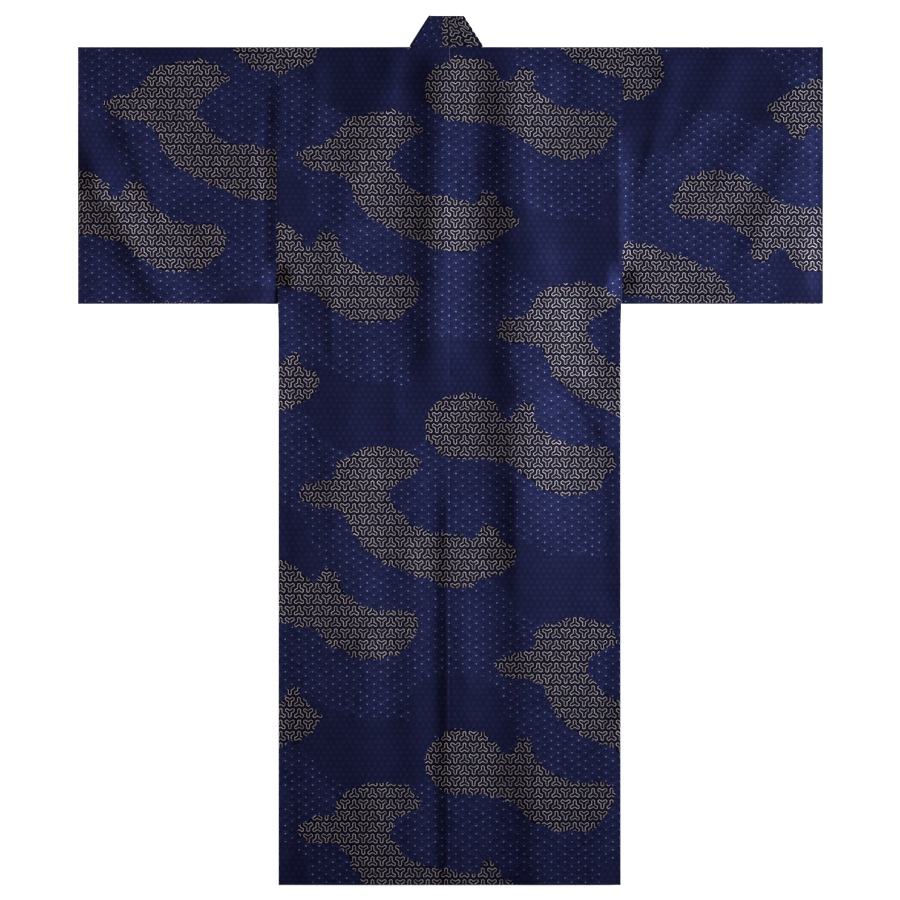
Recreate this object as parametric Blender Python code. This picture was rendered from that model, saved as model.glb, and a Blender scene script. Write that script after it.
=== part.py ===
"""A cotton yukata robe laid flat on its front, its back up.

Metres, +Z up, +Y towards the collar. The wearer's left lies at -X. The origin is under the middle
of the laid garment, at the level of the surface that it lies on.

Layers, from the surface up: the left front with its overlap panel, the right front that it wraps
over, then the back. Each body half is one cloth that runs from its front hem over the shoulder
fold to its back hem. Each sleeve is a flattened tube folded at the shoulder and at its bottom.
The collar is one band of double cloth, from one front over the back of the neck to the other.
"""

import math

import bpy

# Driving dimensions
LENGTH = 1.450  # shoulder fold to hem
COLLAR_RISE = 0.0554  # collar above the shoulder fold
SPAN = 1.2892  # cuff to cuff
CENTRE_X = -0.0015  # centre-back seam
BACK_WIDTH = 0.2960  # one body half at the hem, centre-back seam to side
ARMHOLE_WIDTH = 0.2993  # the same at the armhole
ARMHOLE_DEPTH = 0.365  # stretch of the sleeve that is sewn to the body
SIDE_STRAIGHT_DEPTH = 0.500  # below this the side runs straight down
SLEEVE_DEPTH = 0.4447  # shoulder fold to the sleeve's bottom
SLEEVE_CORNER_GAP = 0.0022  # the sleeve's free lower corner stands off the body by this
CUFF_OPENING = 0.260  # below this the sleeve's outer edge is sewn shut
NECK_HALF_WIDTH = 0.0622  # collar at the shoulder fold
COLLAR_TOP_HALF_WIDTH = 0.0278
COLLAR_FOLD_BULGE = 0.0015  # the band's round folds reach above its edge by this
NECK_SHIFT = -0.0056  # the neck lies this far to the left of the centre seam
NECK_SHIFT_DEPTH = 0.220  # and is back in line with it this far down
OKUMI_POINT_DEPTH = 0.230  # top point of the overlap panel
OKUMI_POINT_WIDTH = 0.0005
OKUMI_SEAM_STRAIGHT_DEPTH = 0.620
OKUMI_SEAM_OFFSET = 0.0500  # straight part of the overlap panel's seam, short of the centre
FRONT_EDGE_OFFSET = 0.1000  # front edge, past the centre
COLLAR_END_DEPTH = 0.700

CLOTH = 0.0010
COLLAR_CLOTH = 0.0020  # the band is the cloth doubled
GAP = 0.0003

# Heights of the undersides of the layers
UPPER_AT_SIDE = 0.0015
UPPER_AT_COLLAR = 0.0046
UPPER_AT_SKIRT = 0.0030
RIGHT_FRONT_OVER_COLLAR = 0.0023
RIGHT_FRONT_OVER_SKIRT = 0.0013
MIDDLE_HALF_WIDTH = {-1: 0.150, 1: 0.130}  # back that lies on both fronts, left and right
MIDDLE_SLOPE = {-1: 0.125, 1: 0.085}
FRONT_STEP_MARGIN = 0.012
FRONT_STEP_SLOPE = 0.048
SKIRT_TOP_DEPTH = 0.780  # collar bands end above this
SKIRT_SLOPE = 0.120
NECK_LIFT_DEPTH = 0.028
SEAM_PRESS_WIDTH = 0.030  # folds die away this close to an edge sewn to the lower layer
SEAM_PRESS_START = 0.040

SHOULDER_Y = (LENGTH - COLLAR_RISE) / 2
COLLAR_TOP_Y = SHOULDER_Y + COLLAR_RISE - COLLAR_FOLD_BULGE

BODY_COLUMNS = 27
NECK_COLUMN = 21
BACK_ROWS = 44
SLEEVE_COLUMNS = 20
SLEEVE_BACK_ROWS = 26
FOLD_STEPS = 4
OKUMI_COLUMNS = 6
COLLAR_COLUMNS = 4

# Depths below the shoulder that the two fronts and the collar share along their seams
FRONT_DEPTHS = (0.03, 0.07, 0.15, OKUMI_POINT_DEPTH, 0.34, 0.45, 0.54, 0.62, COLLAR_END_DEPTH)
SKIRT_DEPTHS = (0.80, 0.92, 1.10, 1.28, LENGTH)

# Collar seam and the band's free edge: depth below the shoulder, reach past the centre
COLLAR_SEAM = (
    (0.000, -NECK_HALF_WIDTH),
    (0.100, -0.0400),
    (OKUMI_POINT_DEPTH, -0.0120),
    (0.450, 0.0200),
    (COLLAR_END_DEPTH, 0.0445),
)
COLLAR_EDGE = (
    (COLLAR_FOLD_BULGE - COLLAR_RISE, -COLLAR_TOP_HALF_WIDTH),
    (0.000, -0.0125),
    (0.100, 0.0165),
    (OKUMI_POINT_DEPTH, 0.0440),
    (0.450, 0.0760),
    (COLLAR_END_DEPTH, FRONT_EDGE_OFFSET),
)

# Folds of the upper layer, each a soft ridge along a line.
# start, end: x, y; left, right: half widths on the two sides seen from the start;
# height; fade_in, fade_out: shares of the length over which it rises and sinks
FOLD_COLUMNS = ("start", "end", "left", "right", "height", "fade_in", "fade_out")
FOLDS = (
    # body, from the left side to the right
    ((-0.285, 0.703), (-0.288, 0.208), 0.087, 0.028, 0.0030, 0.20, 0.40),
    ((-0.122, 0.675), (-0.240, 0.121), 0.048, 0.062, 0.0026, 0.20, 0.35),
    ((-0.184, 0.190), (-0.132, -0.779), 0.045, 0.076, 0.0024, 0.40, 0.02),
    ((-0.264, 0.156), (-0.247, -0.779), 0.048, 0.038, 0.0016, 0.40, 0.02),
    ((-0.016, 0.696), (-0.029, 0.052), 0.038, 0.038, 0.0045, 0.06, 0.26),
    ((-0.003, 0.017), (-0.001, -0.779), 0.045, 0.017, 0.0032, 0.22, 0.02),
    ((-0.070, 0.121), (-0.060, -0.779), 0.035, 0.035, 0.0018, 0.35, 0.02),
    ((0.098, 0.696), (0.124, -0.329), 0.050, 0.043, 0.0045, 0.07, 0.24),
    ((0.099, -0.190), (0.162, -0.779), 0.076, 0.043, 0.0030, 0.30, 0.02),
    ((0.103, 0.606), (0.228, 0.095), 0.019, 0.035, 0.0032, 0.30, 0.14),
    ((0.269, 0.519), (0.266, 0.156), 0.029, 0.026, 0.0014, 0.35, 0.25),
    ((0.086, 0.194), (0.200, -0.021), 0.024, 0.031, 0.0012, 0.35, 0.35),
    ((0.193, 0.017), (0.228, -0.505), 0.042, 0.059, 0.0016, 0.30, 0.30),
    # left sleeve, down from its cuff edge towards the armhole
    ((-0.586, 0.630), (-0.475, 0.363), 0.035, 0.022, 0.0029, 0.30, 0.40),
    ((-0.641, 0.519), (-0.475, 0.221), 0.042, 0.028, 0.0034, 0.20, 0.02),
    ((-0.658, 0.613), (-0.596, 0.426), 0.026, 0.024, 0.0023, 0.25, 0.30),
    ((-0.520, 0.692), (-0.440, 0.502), 0.052, 0.045, 0.0011, 0.30, 0.50),
    ((-0.423, 0.450), (-0.354, 0.239), 0.052, 0.045, 0.0013, 0.40, 0.03),
    # right sleeve, a fan of drape lines from the shoulder fold and the cuff down to the underarm
    ((0.404, 0.703), (0.338, 0.325), 0.028, 0.024, 0.0027, 0.22, 0.40),
    ((0.532, 0.703), (0.349, 0.433), 0.029, 0.033, 0.0034, 0.18, 0.45),
    ((0.643, 0.675), (0.366, 0.391), 0.033, 0.035, 0.0043, 0.12, 0.32),
    ((0.643, 0.606), (0.497, 0.332), 0.031, 0.029, 0.0032, 0.20, 0.45),
    ((0.615, 0.370), (0.459, 0.249), 0.031, 0.035, 0.0020, 0.25, 0.10),
)


def smooth(value):
    """Goes softly from 0 at 0 to 1 at 1."""
    value = min(max(value, 0.0), 1.0)
    return value * value * (3.0 - 2.0 * value)


def blend(start, end, share):
    return start + (end - start) * share


def read_curve(table, depth):
    """Reads a table of depth and reach, smoothed by a cubic through neighbouring rows."""
    depth = min(max(depth, table[0][0]), table[-1][0])
    last = len(table) - 2
    row = next((i for i in range(last) if depth <= table[i + 1][0]), last)
    (d0, r0), (d1, r1) = table[row], table[row + 1]

    def slope(i):
        before, after = table[max(i - 1, 0)], table[min(i + 1, len(table) - 1)]
        return (after[1] - before[1]) / (after[0] - before[0])

    span = d1 - d0
    t = (depth - d0) / span
    m0, m1 = slope(row) * span, slope(row + 1) * span
    return (
        r0 * (2 * t**3 - 3 * t**2 + 1)
        + m0 * (t**3 - 2 * t**2 + t)
        + r1 * (3 * t**2 - 2 * t**3)
        + m1 * (t**3 - t**2)
    )


def fold_height(x, y):
    """Adds up the ridges: across its line each is a bell, along it a rise and a fall."""
    total = 0.0
    for row in FOLDS:
        fold = dict(zip(FOLD_COLUMNS, row))
        (x0, y0), (x1, y1) = fold["start"], fold["end"]
        length = math.hypot(x1 - x0, y1 - y0)
        along_x, along_y = (x1 - x0) / length, (y1 - y0) / length
        along = ((x - x0) * along_x + (y - y0) * along_y) / length
        across = (x - x0) * -along_y + (y - y0) * along_x
        width = fold["left"] if across > 0 else fold["right"]
        rise = smooth(along / fold["fade_in"]) * smooth((1 - along) / fold["fade_out"])
        total += fold["height"] * rise * math.exp(-((across / width) ** 2))
    return total


def seam_press(x, y):
    """Share of a fold's height that is left near the sides and cuffs that are sewn shut."""
    depth = SHOULDER_Y - y
    from_side = abs(side_reach(depth) - abs(x - CENTRE_X))
    from_cuff = SPAN / 2 - abs(x)
    left = 1.0
    for distance, top in ((from_side, ARMHOLE_DEPTH), (from_cuff, CUFF_OPENING)):
        sewn = smooth((depth - top) / SEAM_PRESS_START)
        left *= 1.0 - sewn * (1.0 - smooth(distance / SEAM_PRESS_WIDTH))
    return left


def upper_height(x, y):
    """Underside of the back and of the sleeves' upper layers."""
    depth = SHOULDER_Y - y
    off_centre = abs(x - CENTRE_X)
    below_bands = smooth((depth - SKIRT_TOP_DEPTH) / SKIRT_SLOPE)
    middle = blend(UPPER_AT_COLLAR, UPPER_AT_SKIRT, below_bands)
    side = -1 if x < CENTRE_X else 1
    slope = MIDDLE_SLOPE[side]
    on_fronts = smooth((MIDDLE_HALF_WIDTH[side] + slope - off_centre) / slope)
    return blend(UPPER_AT_SIDE, middle, on_fronts) + fold_height(x, y) * seam_press(x, y)


def neck_line(depth):
    """Middle of the neck: shifted at the shoulder fold, on the centre seam further down."""
    return CENTRE_X + NECK_SHIFT * (1.0 - smooth(depth / NECK_SHIFT_DEPTH))


def right_front_height(x, y):
    """Underside of the right front: on the surface, but over the left front where that lies."""
    depth = SHOULDER_Y - y
    past_left_edge = x - neck_line(depth) - read_curve(COLLAR_EDGE, depth)
    over = smooth((FRONT_STEP_MARGIN + FRONT_STEP_SLOPE - past_left_edge) / FRONT_STEP_SLOPE)
    below_bands = smooth((depth - COLLAR_END_DEPTH) / (SKIRT_TOP_DEPTH - COLLAR_END_DEPTH))
    step = blend(RIGHT_FRONT_OVER_COLLAR, RIGHT_FRONT_OVER_SKIRT, below_bands)
    return step * over * smooth(depth / NECK_LIFT_DEPTH)


def left_front_height(x, y):
    return 0.0


LOWER_HEIGHT = {-1: left_front_height, 1: right_front_height}


def side_reach(depth):
    """Centre to the body's side."""
    share = smooth((depth - ARMHOLE_DEPTH) / (SIDE_STRAIGHT_DEPTH - ARMHOLE_DEPTH))
    return blend(ARMHOLE_WIDTH, BACK_WIDTH, share)


def sleeve_start_reach(depth):
    """Centre to the sleeve's inner edge."""
    share = smooth((depth - ARMHOLE_DEPTH) / (SLEEVE_DEPTH - ARMHOLE_DEPTH))
    return ARMHOLE_WIDTH + GAP + SLEEVE_CORNER_GAP * share


def okumi_seam_reach(depth):
    """Reach past the centre of the seam between a front and its overlap panel."""
    top = read_curve(COLLAR_SEAM, OKUMI_POINT_DEPTH) - GAP - OKUMI_POINT_WIDTH
    share = (depth - OKUMI_POINT_DEPTH) / (OKUMI_SEAM_STRAIGHT_DEPTH - OKUMI_POINT_DEPTH)
    return blend(top, -OKUMI_SEAM_OFFSET, smooth(share))


def front_panel_reach(depth):
    if depth < OKUMI_POINT_DEPTH:
        return read_curve(COLLAR_SEAM, depth) - GAP
    return okumi_seam_reach(depth) - GAP


def cloth_colour(name, colour):
    material = bpy.data.materials.new(name)
    material.use_nodes = True
    shader = material.node_tree.nodes["Principled BSDF"]
    shader.inputs["Base Color"].default_value = (*colour, 1.0)
    shader.inputs["Roughness"].default_value = 0.85
    return material


def add_wall(name, rows, thickness, material, ring=False):
    """Makes a closed wall of cloth round a grid of middle points.

    Each row is a list of pairs, a middle point and the direction to its outer skin. A row may be
    shorter than its neighbours: the wall then ends at its last point. A ring closes on itself.
    """
    numbers = {}
    middles = []
    for i, row in enumerate(rows):
        for j, pair in enumerate(row):
            numbers[i, j] = len(middles)
            middles.append(pair)
    outer = [tuple(p + thickness / 2 * d for p, d in zip(*pair)) for pair in middles]
    inner = [tuple(p - thickness / 2 * d for p, d in zip(*pair)) for pair in middles]
    quads = []
    for i in range(len(rows) if ring else len(rows) - 1):
        following = (i + 1) % len(rows)
        for j in range(min(len(rows[i]), len(rows[following])) - 1):
            corners = ((i, j), (i, j + 1), (following, j + 1), (following, j))
            quads.append([numbers[corner] for corner in corners])
    directed = {(q[k], q[(k + 1) % 4]) for q in quads for k in range(4)}
    rims = [edge for edge in sorted(directed) if edge[::-1] not in directed]
    shift = len(middles)
    faces = list(quads)
    faces += [[shift + v for v in (q[0], q[3], q[2], q[1])] for q in quads]
    faces += [[b, a, shift + a, shift + b] for a, b in rims]
    mesh = bpy.data.meshes.new(name)
    mesh.from_pydata(outer + inner, [], faces)
    mesh.materials.append(material)
    mesh.shade_smooth()
    mesh.set_sharp_from_angle(angle=math.radians(40))
    bpy.context.scene.collection.objects.link(bpy.data.objects.new(name, mesh))


def mirrored(rows, side):
    """Keeps the faces pointing out: the right half's columns run the other way."""
    return rows if side < 0 else rows[::-1]


def half_turn(upper, lower, edge_y, x, outward, thickness):
    """Carries the cloth over a fold along X, from its upper layer to its lower one.

    upper and lower are the heights of the layers' middles, and edge_y is where the outer skin
    reaches. outward is 1 for a fold that faces +Y and -1 for one that faces -Y.
    """
    radius = (upper - lower) / 2
    centre_y = edge_y - outward * (radius + thickness / 2)
    points = []
    for step in range(FOLD_STEPS + 1):
        turn = math.pi * step / FOLD_STEPS
        side, up = math.sin(turn), math.cos(turn)
        point = (x, centre_y + outward * radius * side, (upper + lower) / 2 + radius * up)
        points.append((point, (0.0, outward * side, up)))
    return points


UP, DOWN = (0.0, 0.0, 1.0), (0.0, 0.0, -1.0)


def add_body_half(name, side, material):
    """One cloth: back hem, up the back, over the shoulder fold and down the front to its hem."""
    lower_height = LOWER_HEIGHT[side]
    rows = []
    for i in range(BACK_ROWS):
        depth = blend(LENGTH, LENGTH / BACK_ROWS / 2, i / (BACK_ROWS - 1))
        row = []
        for j in range(BODY_COLUMNS + 1):
            x, y = back_column_x(j, side, depth), SHOULDER_Y - depth
            row.append(((x, y, upper_height(x, y) + CLOTH / 2), UP))
        rows.append(row)
    turns = []
    for j in range(NECK_COLUMN + 1):
        x = back_column_x(j, side, 0.0)
        upper = upper_height(x, SHOULDER_Y) + CLOTH / 2
        lower = lower_height(x, SHOULDER_Y) + CLOTH / 2
        turns.append(half_turn(upper, lower, SHOULDER_Y, x, 1, CLOTH))
    neck = []
    for j in range(NECK_COLUMN + 1, BODY_COLUMNS + 1):
        x, y = back_column_x(j, side, 0.0), SHOULDER_Y - GAP
        neck.append(((x, y, upper_height(x, y) + CLOTH / 2), UP))
    for step in range(FOLD_STEPS + 1):
        rows.append([turn[step] for turn in turns] + (neck if step == 0 else []))
    for depth in FRONT_DEPTHS + SKIRT_DEPTHS:
        row = []
        for j in range(NECK_COLUMN + 1):
            outer_x = CENTRE_X + side * side_reach(depth)
            inner_x = neck_line(depth) - side * front_panel_reach(depth)
            x, y = blend(outer_x, inner_x, j / NECK_COLUMN), SHOULDER_Y - depth
            row.append(((x, y, lower_height(x, y) + CLOTH / 2), DOWN))
        rows.append(row)
    add_wall(name, mirrored(rows, side), CLOTH, material)


def back_column_x(j, side, depth):
    """Place of column j: evenly from the side to the neck, then evenly to the centre seam."""
    neck_x = neck_line(0.0) + side * (NECK_HALF_WIDTH + GAP)
    if j <= NECK_COLUMN:
        return blend(CENTRE_X + side * side_reach(depth), neck_x, j / NECK_COLUMN)
    share = (j - NECK_COLUMN) / (BODY_COLUMNS - NECK_COLUMN)
    return blend(neck_x, CENTRE_X + side * GAP / 2, share)


def add_sleeve(name, side, material):
    """A flattened tube: rings round it, from the armhole out to the cuff."""
    columns = []
    bottom_y = SHOULDER_Y - SLEEVE_DEPTH
    for j in range(SLEEVE_COLUMNS + 1):
        share = j / SLEEVE_COLUMNS

        def place(depth):
            start = CENTRE_X + side * sleeve_start_reach(depth)
            return blend(start, side * SPAN / 2, share), SHOULDER_Y - depth

        ring = []
        for i in range(1, SLEEVE_BACK_ROWS):
            x, y = place(SLEEVE_DEPTH * (1 - i / SLEEVE_BACK_ROWS))
            ring.append(((x, y, upper_height(x, y) + CLOTH / 2), UP))
        x, y = place(0.0)
        ring += half_turn(upper_height(x, y) + CLOTH / 2, CLOTH / 2, y, x, 1, CLOTH)
        for i in (1, 2):
            x, y = place(SLEEVE_DEPTH * i / 3)
            ring.append(((x, y, CLOTH / 2), DOWN))
        x, y = place(SLEEVE_DEPTH)
        ring += half_turn(upper_height(x, y) + CLOTH / 2, CLOTH / 2, y, x, -1, CLOTH)[::-1]
        columns.append(ring)
    rows = [list(row) for row in zip(*columns)]
    add_wall(name, mirrored(rows, -side), CLOTH, material, ring=True)


def add_okumi(name, side, material):
    """The overlap panel of one front, from its top point under the collar down to the hem."""
    rows = []
    for depth in FRONT_DEPTHS[FRONT_DEPTHS.index(OKUMI_POINT_DEPTH) : -1]:
        rows.append((depth, okumi_seam_reach(depth), read_curve(COLLAR_SEAM, depth) - GAP))
    below_band = COLLAR_END_DEPTH + GAP
    seam_end = read_curve(COLLAR_SEAM, COLLAR_END_DEPTH) - GAP
    rows.append((below_band, okumi_seam_reach(below_band), seam_end))
    for depth in (below_band + GAP,) + SKIRT_DEPTHS:
        rows.append((depth, okumi_seam_reach(depth), FRONT_EDGE_OFFSET))
    grid = []
    for depth, start, end in rows:
        row = []
        for j in range(OKUMI_COLUMNS + 1):
            x = neck_line(depth) - side * blend(start, end, j / OKUMI_COLUMNS)
            y = SHOULDER_Y - depth
            row.append(((x, y, LOWER_HEIGHT[side](x, y) + CLOTH / 2), DOWN))
        grid.append(row)
    add_wall(name, mirrored(grid, side), CLOTH, material)


def collar_row(seam, edge, height, direction):
    """Middle points straight across the band, from its seam to its free edge."""
    row = []
    for j in range(COLLAR_COLUMNS + 1):
        share = j / COLLAR_COLUMNS
        x, y = blend(seam[0], edge[0], share), blend(seam[1], edge[1], share)
        row.append(((x, y, height(x, y) + COLLAR_CLOTH / 2), direction))
    return row


def collar_front(side):
    """One front stretch of the band, from the fold beside the neck down to its end."""
    rows = []
    for depth in (0.0,) + FRONT_DEPTHS:
        share = depth / COLLAR_END_DEPTH
        edge_depth = blend(SHOULDER_Y - COLLAR_TOP_Y, COLLAR_END_DEPTH, share)
        seam_depth = depth if depth else -GAP
        seam_x = neck_line(depth) - side * read_curve(COLLAR_SEAM, depth)
        edge_x = neck_line(edge_depth) - side * read_curve(COLLAR_EDGE, edge_depth)
        seam, edge = (seam_x, SHOULDER_Y - seam_depth), (edge_x, SHOULDER_Y - edge_depth)
        rows.append(collar_row(seam, edge, LOWER_HEIGHT[side], DOWN))
    return rows


def collar_fold(side):
    """The band's turn beside the neck, from its front stretch up to its back stretch."""
    seam = (neck_line(0.0) + side * NECK_HALF_WIDTH, SHOULDER_Y + GAP)
    edge = (neck_line(0.0) + side * COLLAR_TOP_HALF_WIDTH, COLLAR_TOP_Y)
    length = math.hypot(edge[0] - seam[0], edge[1] - seam[1])
    outward = (side * (edge[1] - seam[1]) / length, abs(edge[0] - seam[0]) / length)
    rows = []
    for step in range(1, FOLD_STEPS):
        turn = math.pi * step / FOLD_STEPS
        out, up = math.sin(turn), -math.cos(turn)
        row = []
        for (x, y, upper), _ in collar_row(seam, edge, neck_height, UP):
            lower = LOWER_HEIGHT[side](x, y) + COLLAR_CLOTH / 2
            radius = (upper - lower) / 2
            bulge = radius * out
            point = (x + bulge * outward[0], y + bulge * outward[1], lower + radius + radius * up)
            row.append((point, (out * outward[0], out * outward[1], up)))
        rows.append(row)
    return rows


def neck_height(x, y):
    """Underside of the band behind the neck: its top is level with the back's."""
    return UPPER_AT_COLLAR + CLOTH - COLLAR_CLOTH


def add_collar(name, material):
    rows = collar_front(-1)[::-1] + collar_fold(-1)
    stretches = 8
    for i in range(stretches + 1):
        across = blend(-1, 1, i / stretches)
        seam = (neck_line(0.0) + across * NECK_HALF_WIDTH, SHOULDER_Y + GAP)
        edge = (neck_line(0.0) + across * COLLAR_TOP_HALF_WIDTH, COLLAR_TOP_Y)
        rows.append(collar_row(seam, edge, neck_height, UP))
    rows += collar_fold(1)[::-1] + collar_front(1)
    add_wall(name, rows[::-1], COLLAR_CLOTH, material)


def clear_scene():
    for item in list(bpy.data.objects):
        bpy.data.objects.remove(item)


def main():
    clear_scene()
    for side, word in ((-1, "left"), (1, "right")):
        body = cloth_colour(f"navy_cotton_body_{word}", (0.012, 0.013, 0.060))
        add_body_half(f"body_{word}", side, body)
        sleeve = cloth_colour(f"navy_cotton_sleeve_{word}", (0.016, 0.018, 0.075))
        add_sleeve(f"sleeve_{word}", side, sleeve)
        okumi = cloth_colour(f"navy_cotton_okumi_{word}", (0.010, 0.011, 0.050))
        add_okumi(f"okumi_{word}", side, okumi)
    add_collar("collar", cloth_colour("navy_cotton_collar", (0.014, 0.014, 0.055)))


main()
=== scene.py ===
"""A cotton yukata robe laid flat with its back up: its cloth, its print, the floor and the light.

Metres, +Z up, +Y towards the collar, the wearer's left at -X. Every panel is a thin shell of cloth
on the form of its solid, worked out on a grid of two parameters.
"""

import math

import bpy
import numpy as np
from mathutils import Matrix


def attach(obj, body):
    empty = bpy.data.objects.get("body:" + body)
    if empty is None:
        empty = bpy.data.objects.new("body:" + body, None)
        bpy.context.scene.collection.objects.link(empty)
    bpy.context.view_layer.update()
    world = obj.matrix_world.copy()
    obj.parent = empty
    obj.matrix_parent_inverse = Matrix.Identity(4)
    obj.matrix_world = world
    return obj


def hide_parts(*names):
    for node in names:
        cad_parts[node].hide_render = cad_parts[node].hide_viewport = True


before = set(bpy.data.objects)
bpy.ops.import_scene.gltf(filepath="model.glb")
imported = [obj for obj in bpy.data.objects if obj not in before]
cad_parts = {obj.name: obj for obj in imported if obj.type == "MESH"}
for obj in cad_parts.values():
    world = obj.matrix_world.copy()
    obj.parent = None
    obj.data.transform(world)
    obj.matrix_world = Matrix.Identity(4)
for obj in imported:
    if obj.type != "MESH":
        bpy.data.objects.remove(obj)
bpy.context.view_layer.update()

bl_info = {
    "name": "Cotton yukata robe",
    "version": (1, 0, 0),
    "blender": (4, 5, 0),
    "location": "3D View > Sidebar > Yukata",
    "description": "Lays out a cotton yukata robe, its back up, on a pale floor",
    "category": "Object",
}

# Cut of the robe
LENGTH = 1.450  # shoulder fold to hem
COLLAR_RISE = 0.0554  # collar above the shoulder fold
SPAN = 1.2892  # cuff to cuff
CENTRE_X = -0.0015  # centre-back seam
BACK_WIDTH = 0.2960  # one body half at the hem, centre-back seam to side
ARMHOLE_WIDTH = 0.2993
ARMHOLE_DEPTH = 0.365
SIDE_STRAIGHT_DEPTH = 0.500
SLEEVE_DEPTH = 0.4447
SLEEVE_CORNER_GAP = 0.00025
SLEEVE_UNDER_REACH = 0.0006  # the sleeve's lower layer goes this far under the body at its corner
CUFF_OPENING = 0.260
NECK_HALF_WIDTH = 0.0622
COLLAR_TOP_HALF_WIDTH = 0.0278
COLLAR_FOLD_BULGE = 0.0015
NECK_SHIFT = -0.0056
NECK_SHIFT_DEPTH = 0.220
OKUMI_POINT_DEPTH = 0.230
OKUMI_POINT_WIDTH = 0.0005
OKUMI_SEAM_STRAIGHT_DEPTH = 0.620
OKUMI_SEAM_OFFSET = 0.0500
FRONT_EDGE_OFFSET = 0.1000
COLLAR_END_DEPTH = 0.700
FRONT_TOP_DEPTH = 0.004  # first row of a front below its shoulder fold
FREE_EDGE_GAP = 0.002  # from the collar's end to the next row of the overlap panel
SEAM_GAP = 0.00006  # between panels that are sewn together

# Heights of the undersides of the layers
UPPER_AT_SIDE = 0.0015
UPPER_AT_COLLAR = 0.0046
UPPER_AT_SKIRT = 0.0030
RIGHT_FRONT_OVER_COLLAR = 0.0023
RIGHT_FRONT_OVER_SKIRT = 0.0013
MIDDLE_HALF_WIDTH = {-1: 0.150, 1: 0.130}  # on the left and on the right
MIDDLE_SLOPE = {-1: 0.125, 1: 0.120}
FRONT_STEP_MARGIN = 0.012
FRONT_STEP_SLOPE = 0.048
SKIRT_TOP_DEPTH = 0.780
SKIRT_SLOPE = 0.120
NECK_LIFT_DEPTH = 0.028
NECK_PLATEAU = 0.085  # the collar alone lies under the back at the shoulder fold
NECK_PLATEAU_DEPTH = 0.160
SEAM_PRESS_WIDTH = 0.030
SEAM_PRESS_START = 0.040
BAND_SQUARENESS = 10  # the higher, the later the collar band thins towards its two folds
BAND_THINNEST = 0.4  # share of its thickness that is left there
BAND_SEAM_COVER = 0.05  # keeps the wear and the stitches of a turned edge off the band's seam

SHOULDER_Y = (LENGTH - COLLAR_RISE) / 2
COLLAR_TOP_Y = SHOULDER_Y + COLLAR_RISE - COLLAR_FOLD_BULGE

# Collar seam and the band's free edge: depth below the shoulder, reach past the centre
COLLAR_SEAM = (
    (0.000, -NECK_HALF_WIDTH),
    (0.100, -0.0400),
    (OKUMI_POINT_DEPTH, -0.0120),
    (0.450, 0.0200),
    (COLLAR_END_DEPTH, 0.0445),
)
COLLAR_EDGE = (
    (COLLAR_FOLD_BULGE - COLLAR_RISE, -COLLAR_TOP_HALF_WIDTH),
    (0.000, -0.0125),
    (0.100, 0.0165),
    (OKUMI_POINT_DEPTH, 0.0440),
    (0.450, 0.0760),
    (COLLAR_END_DEPTH, FRONT_EDGE_OFFSET),
)

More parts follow.
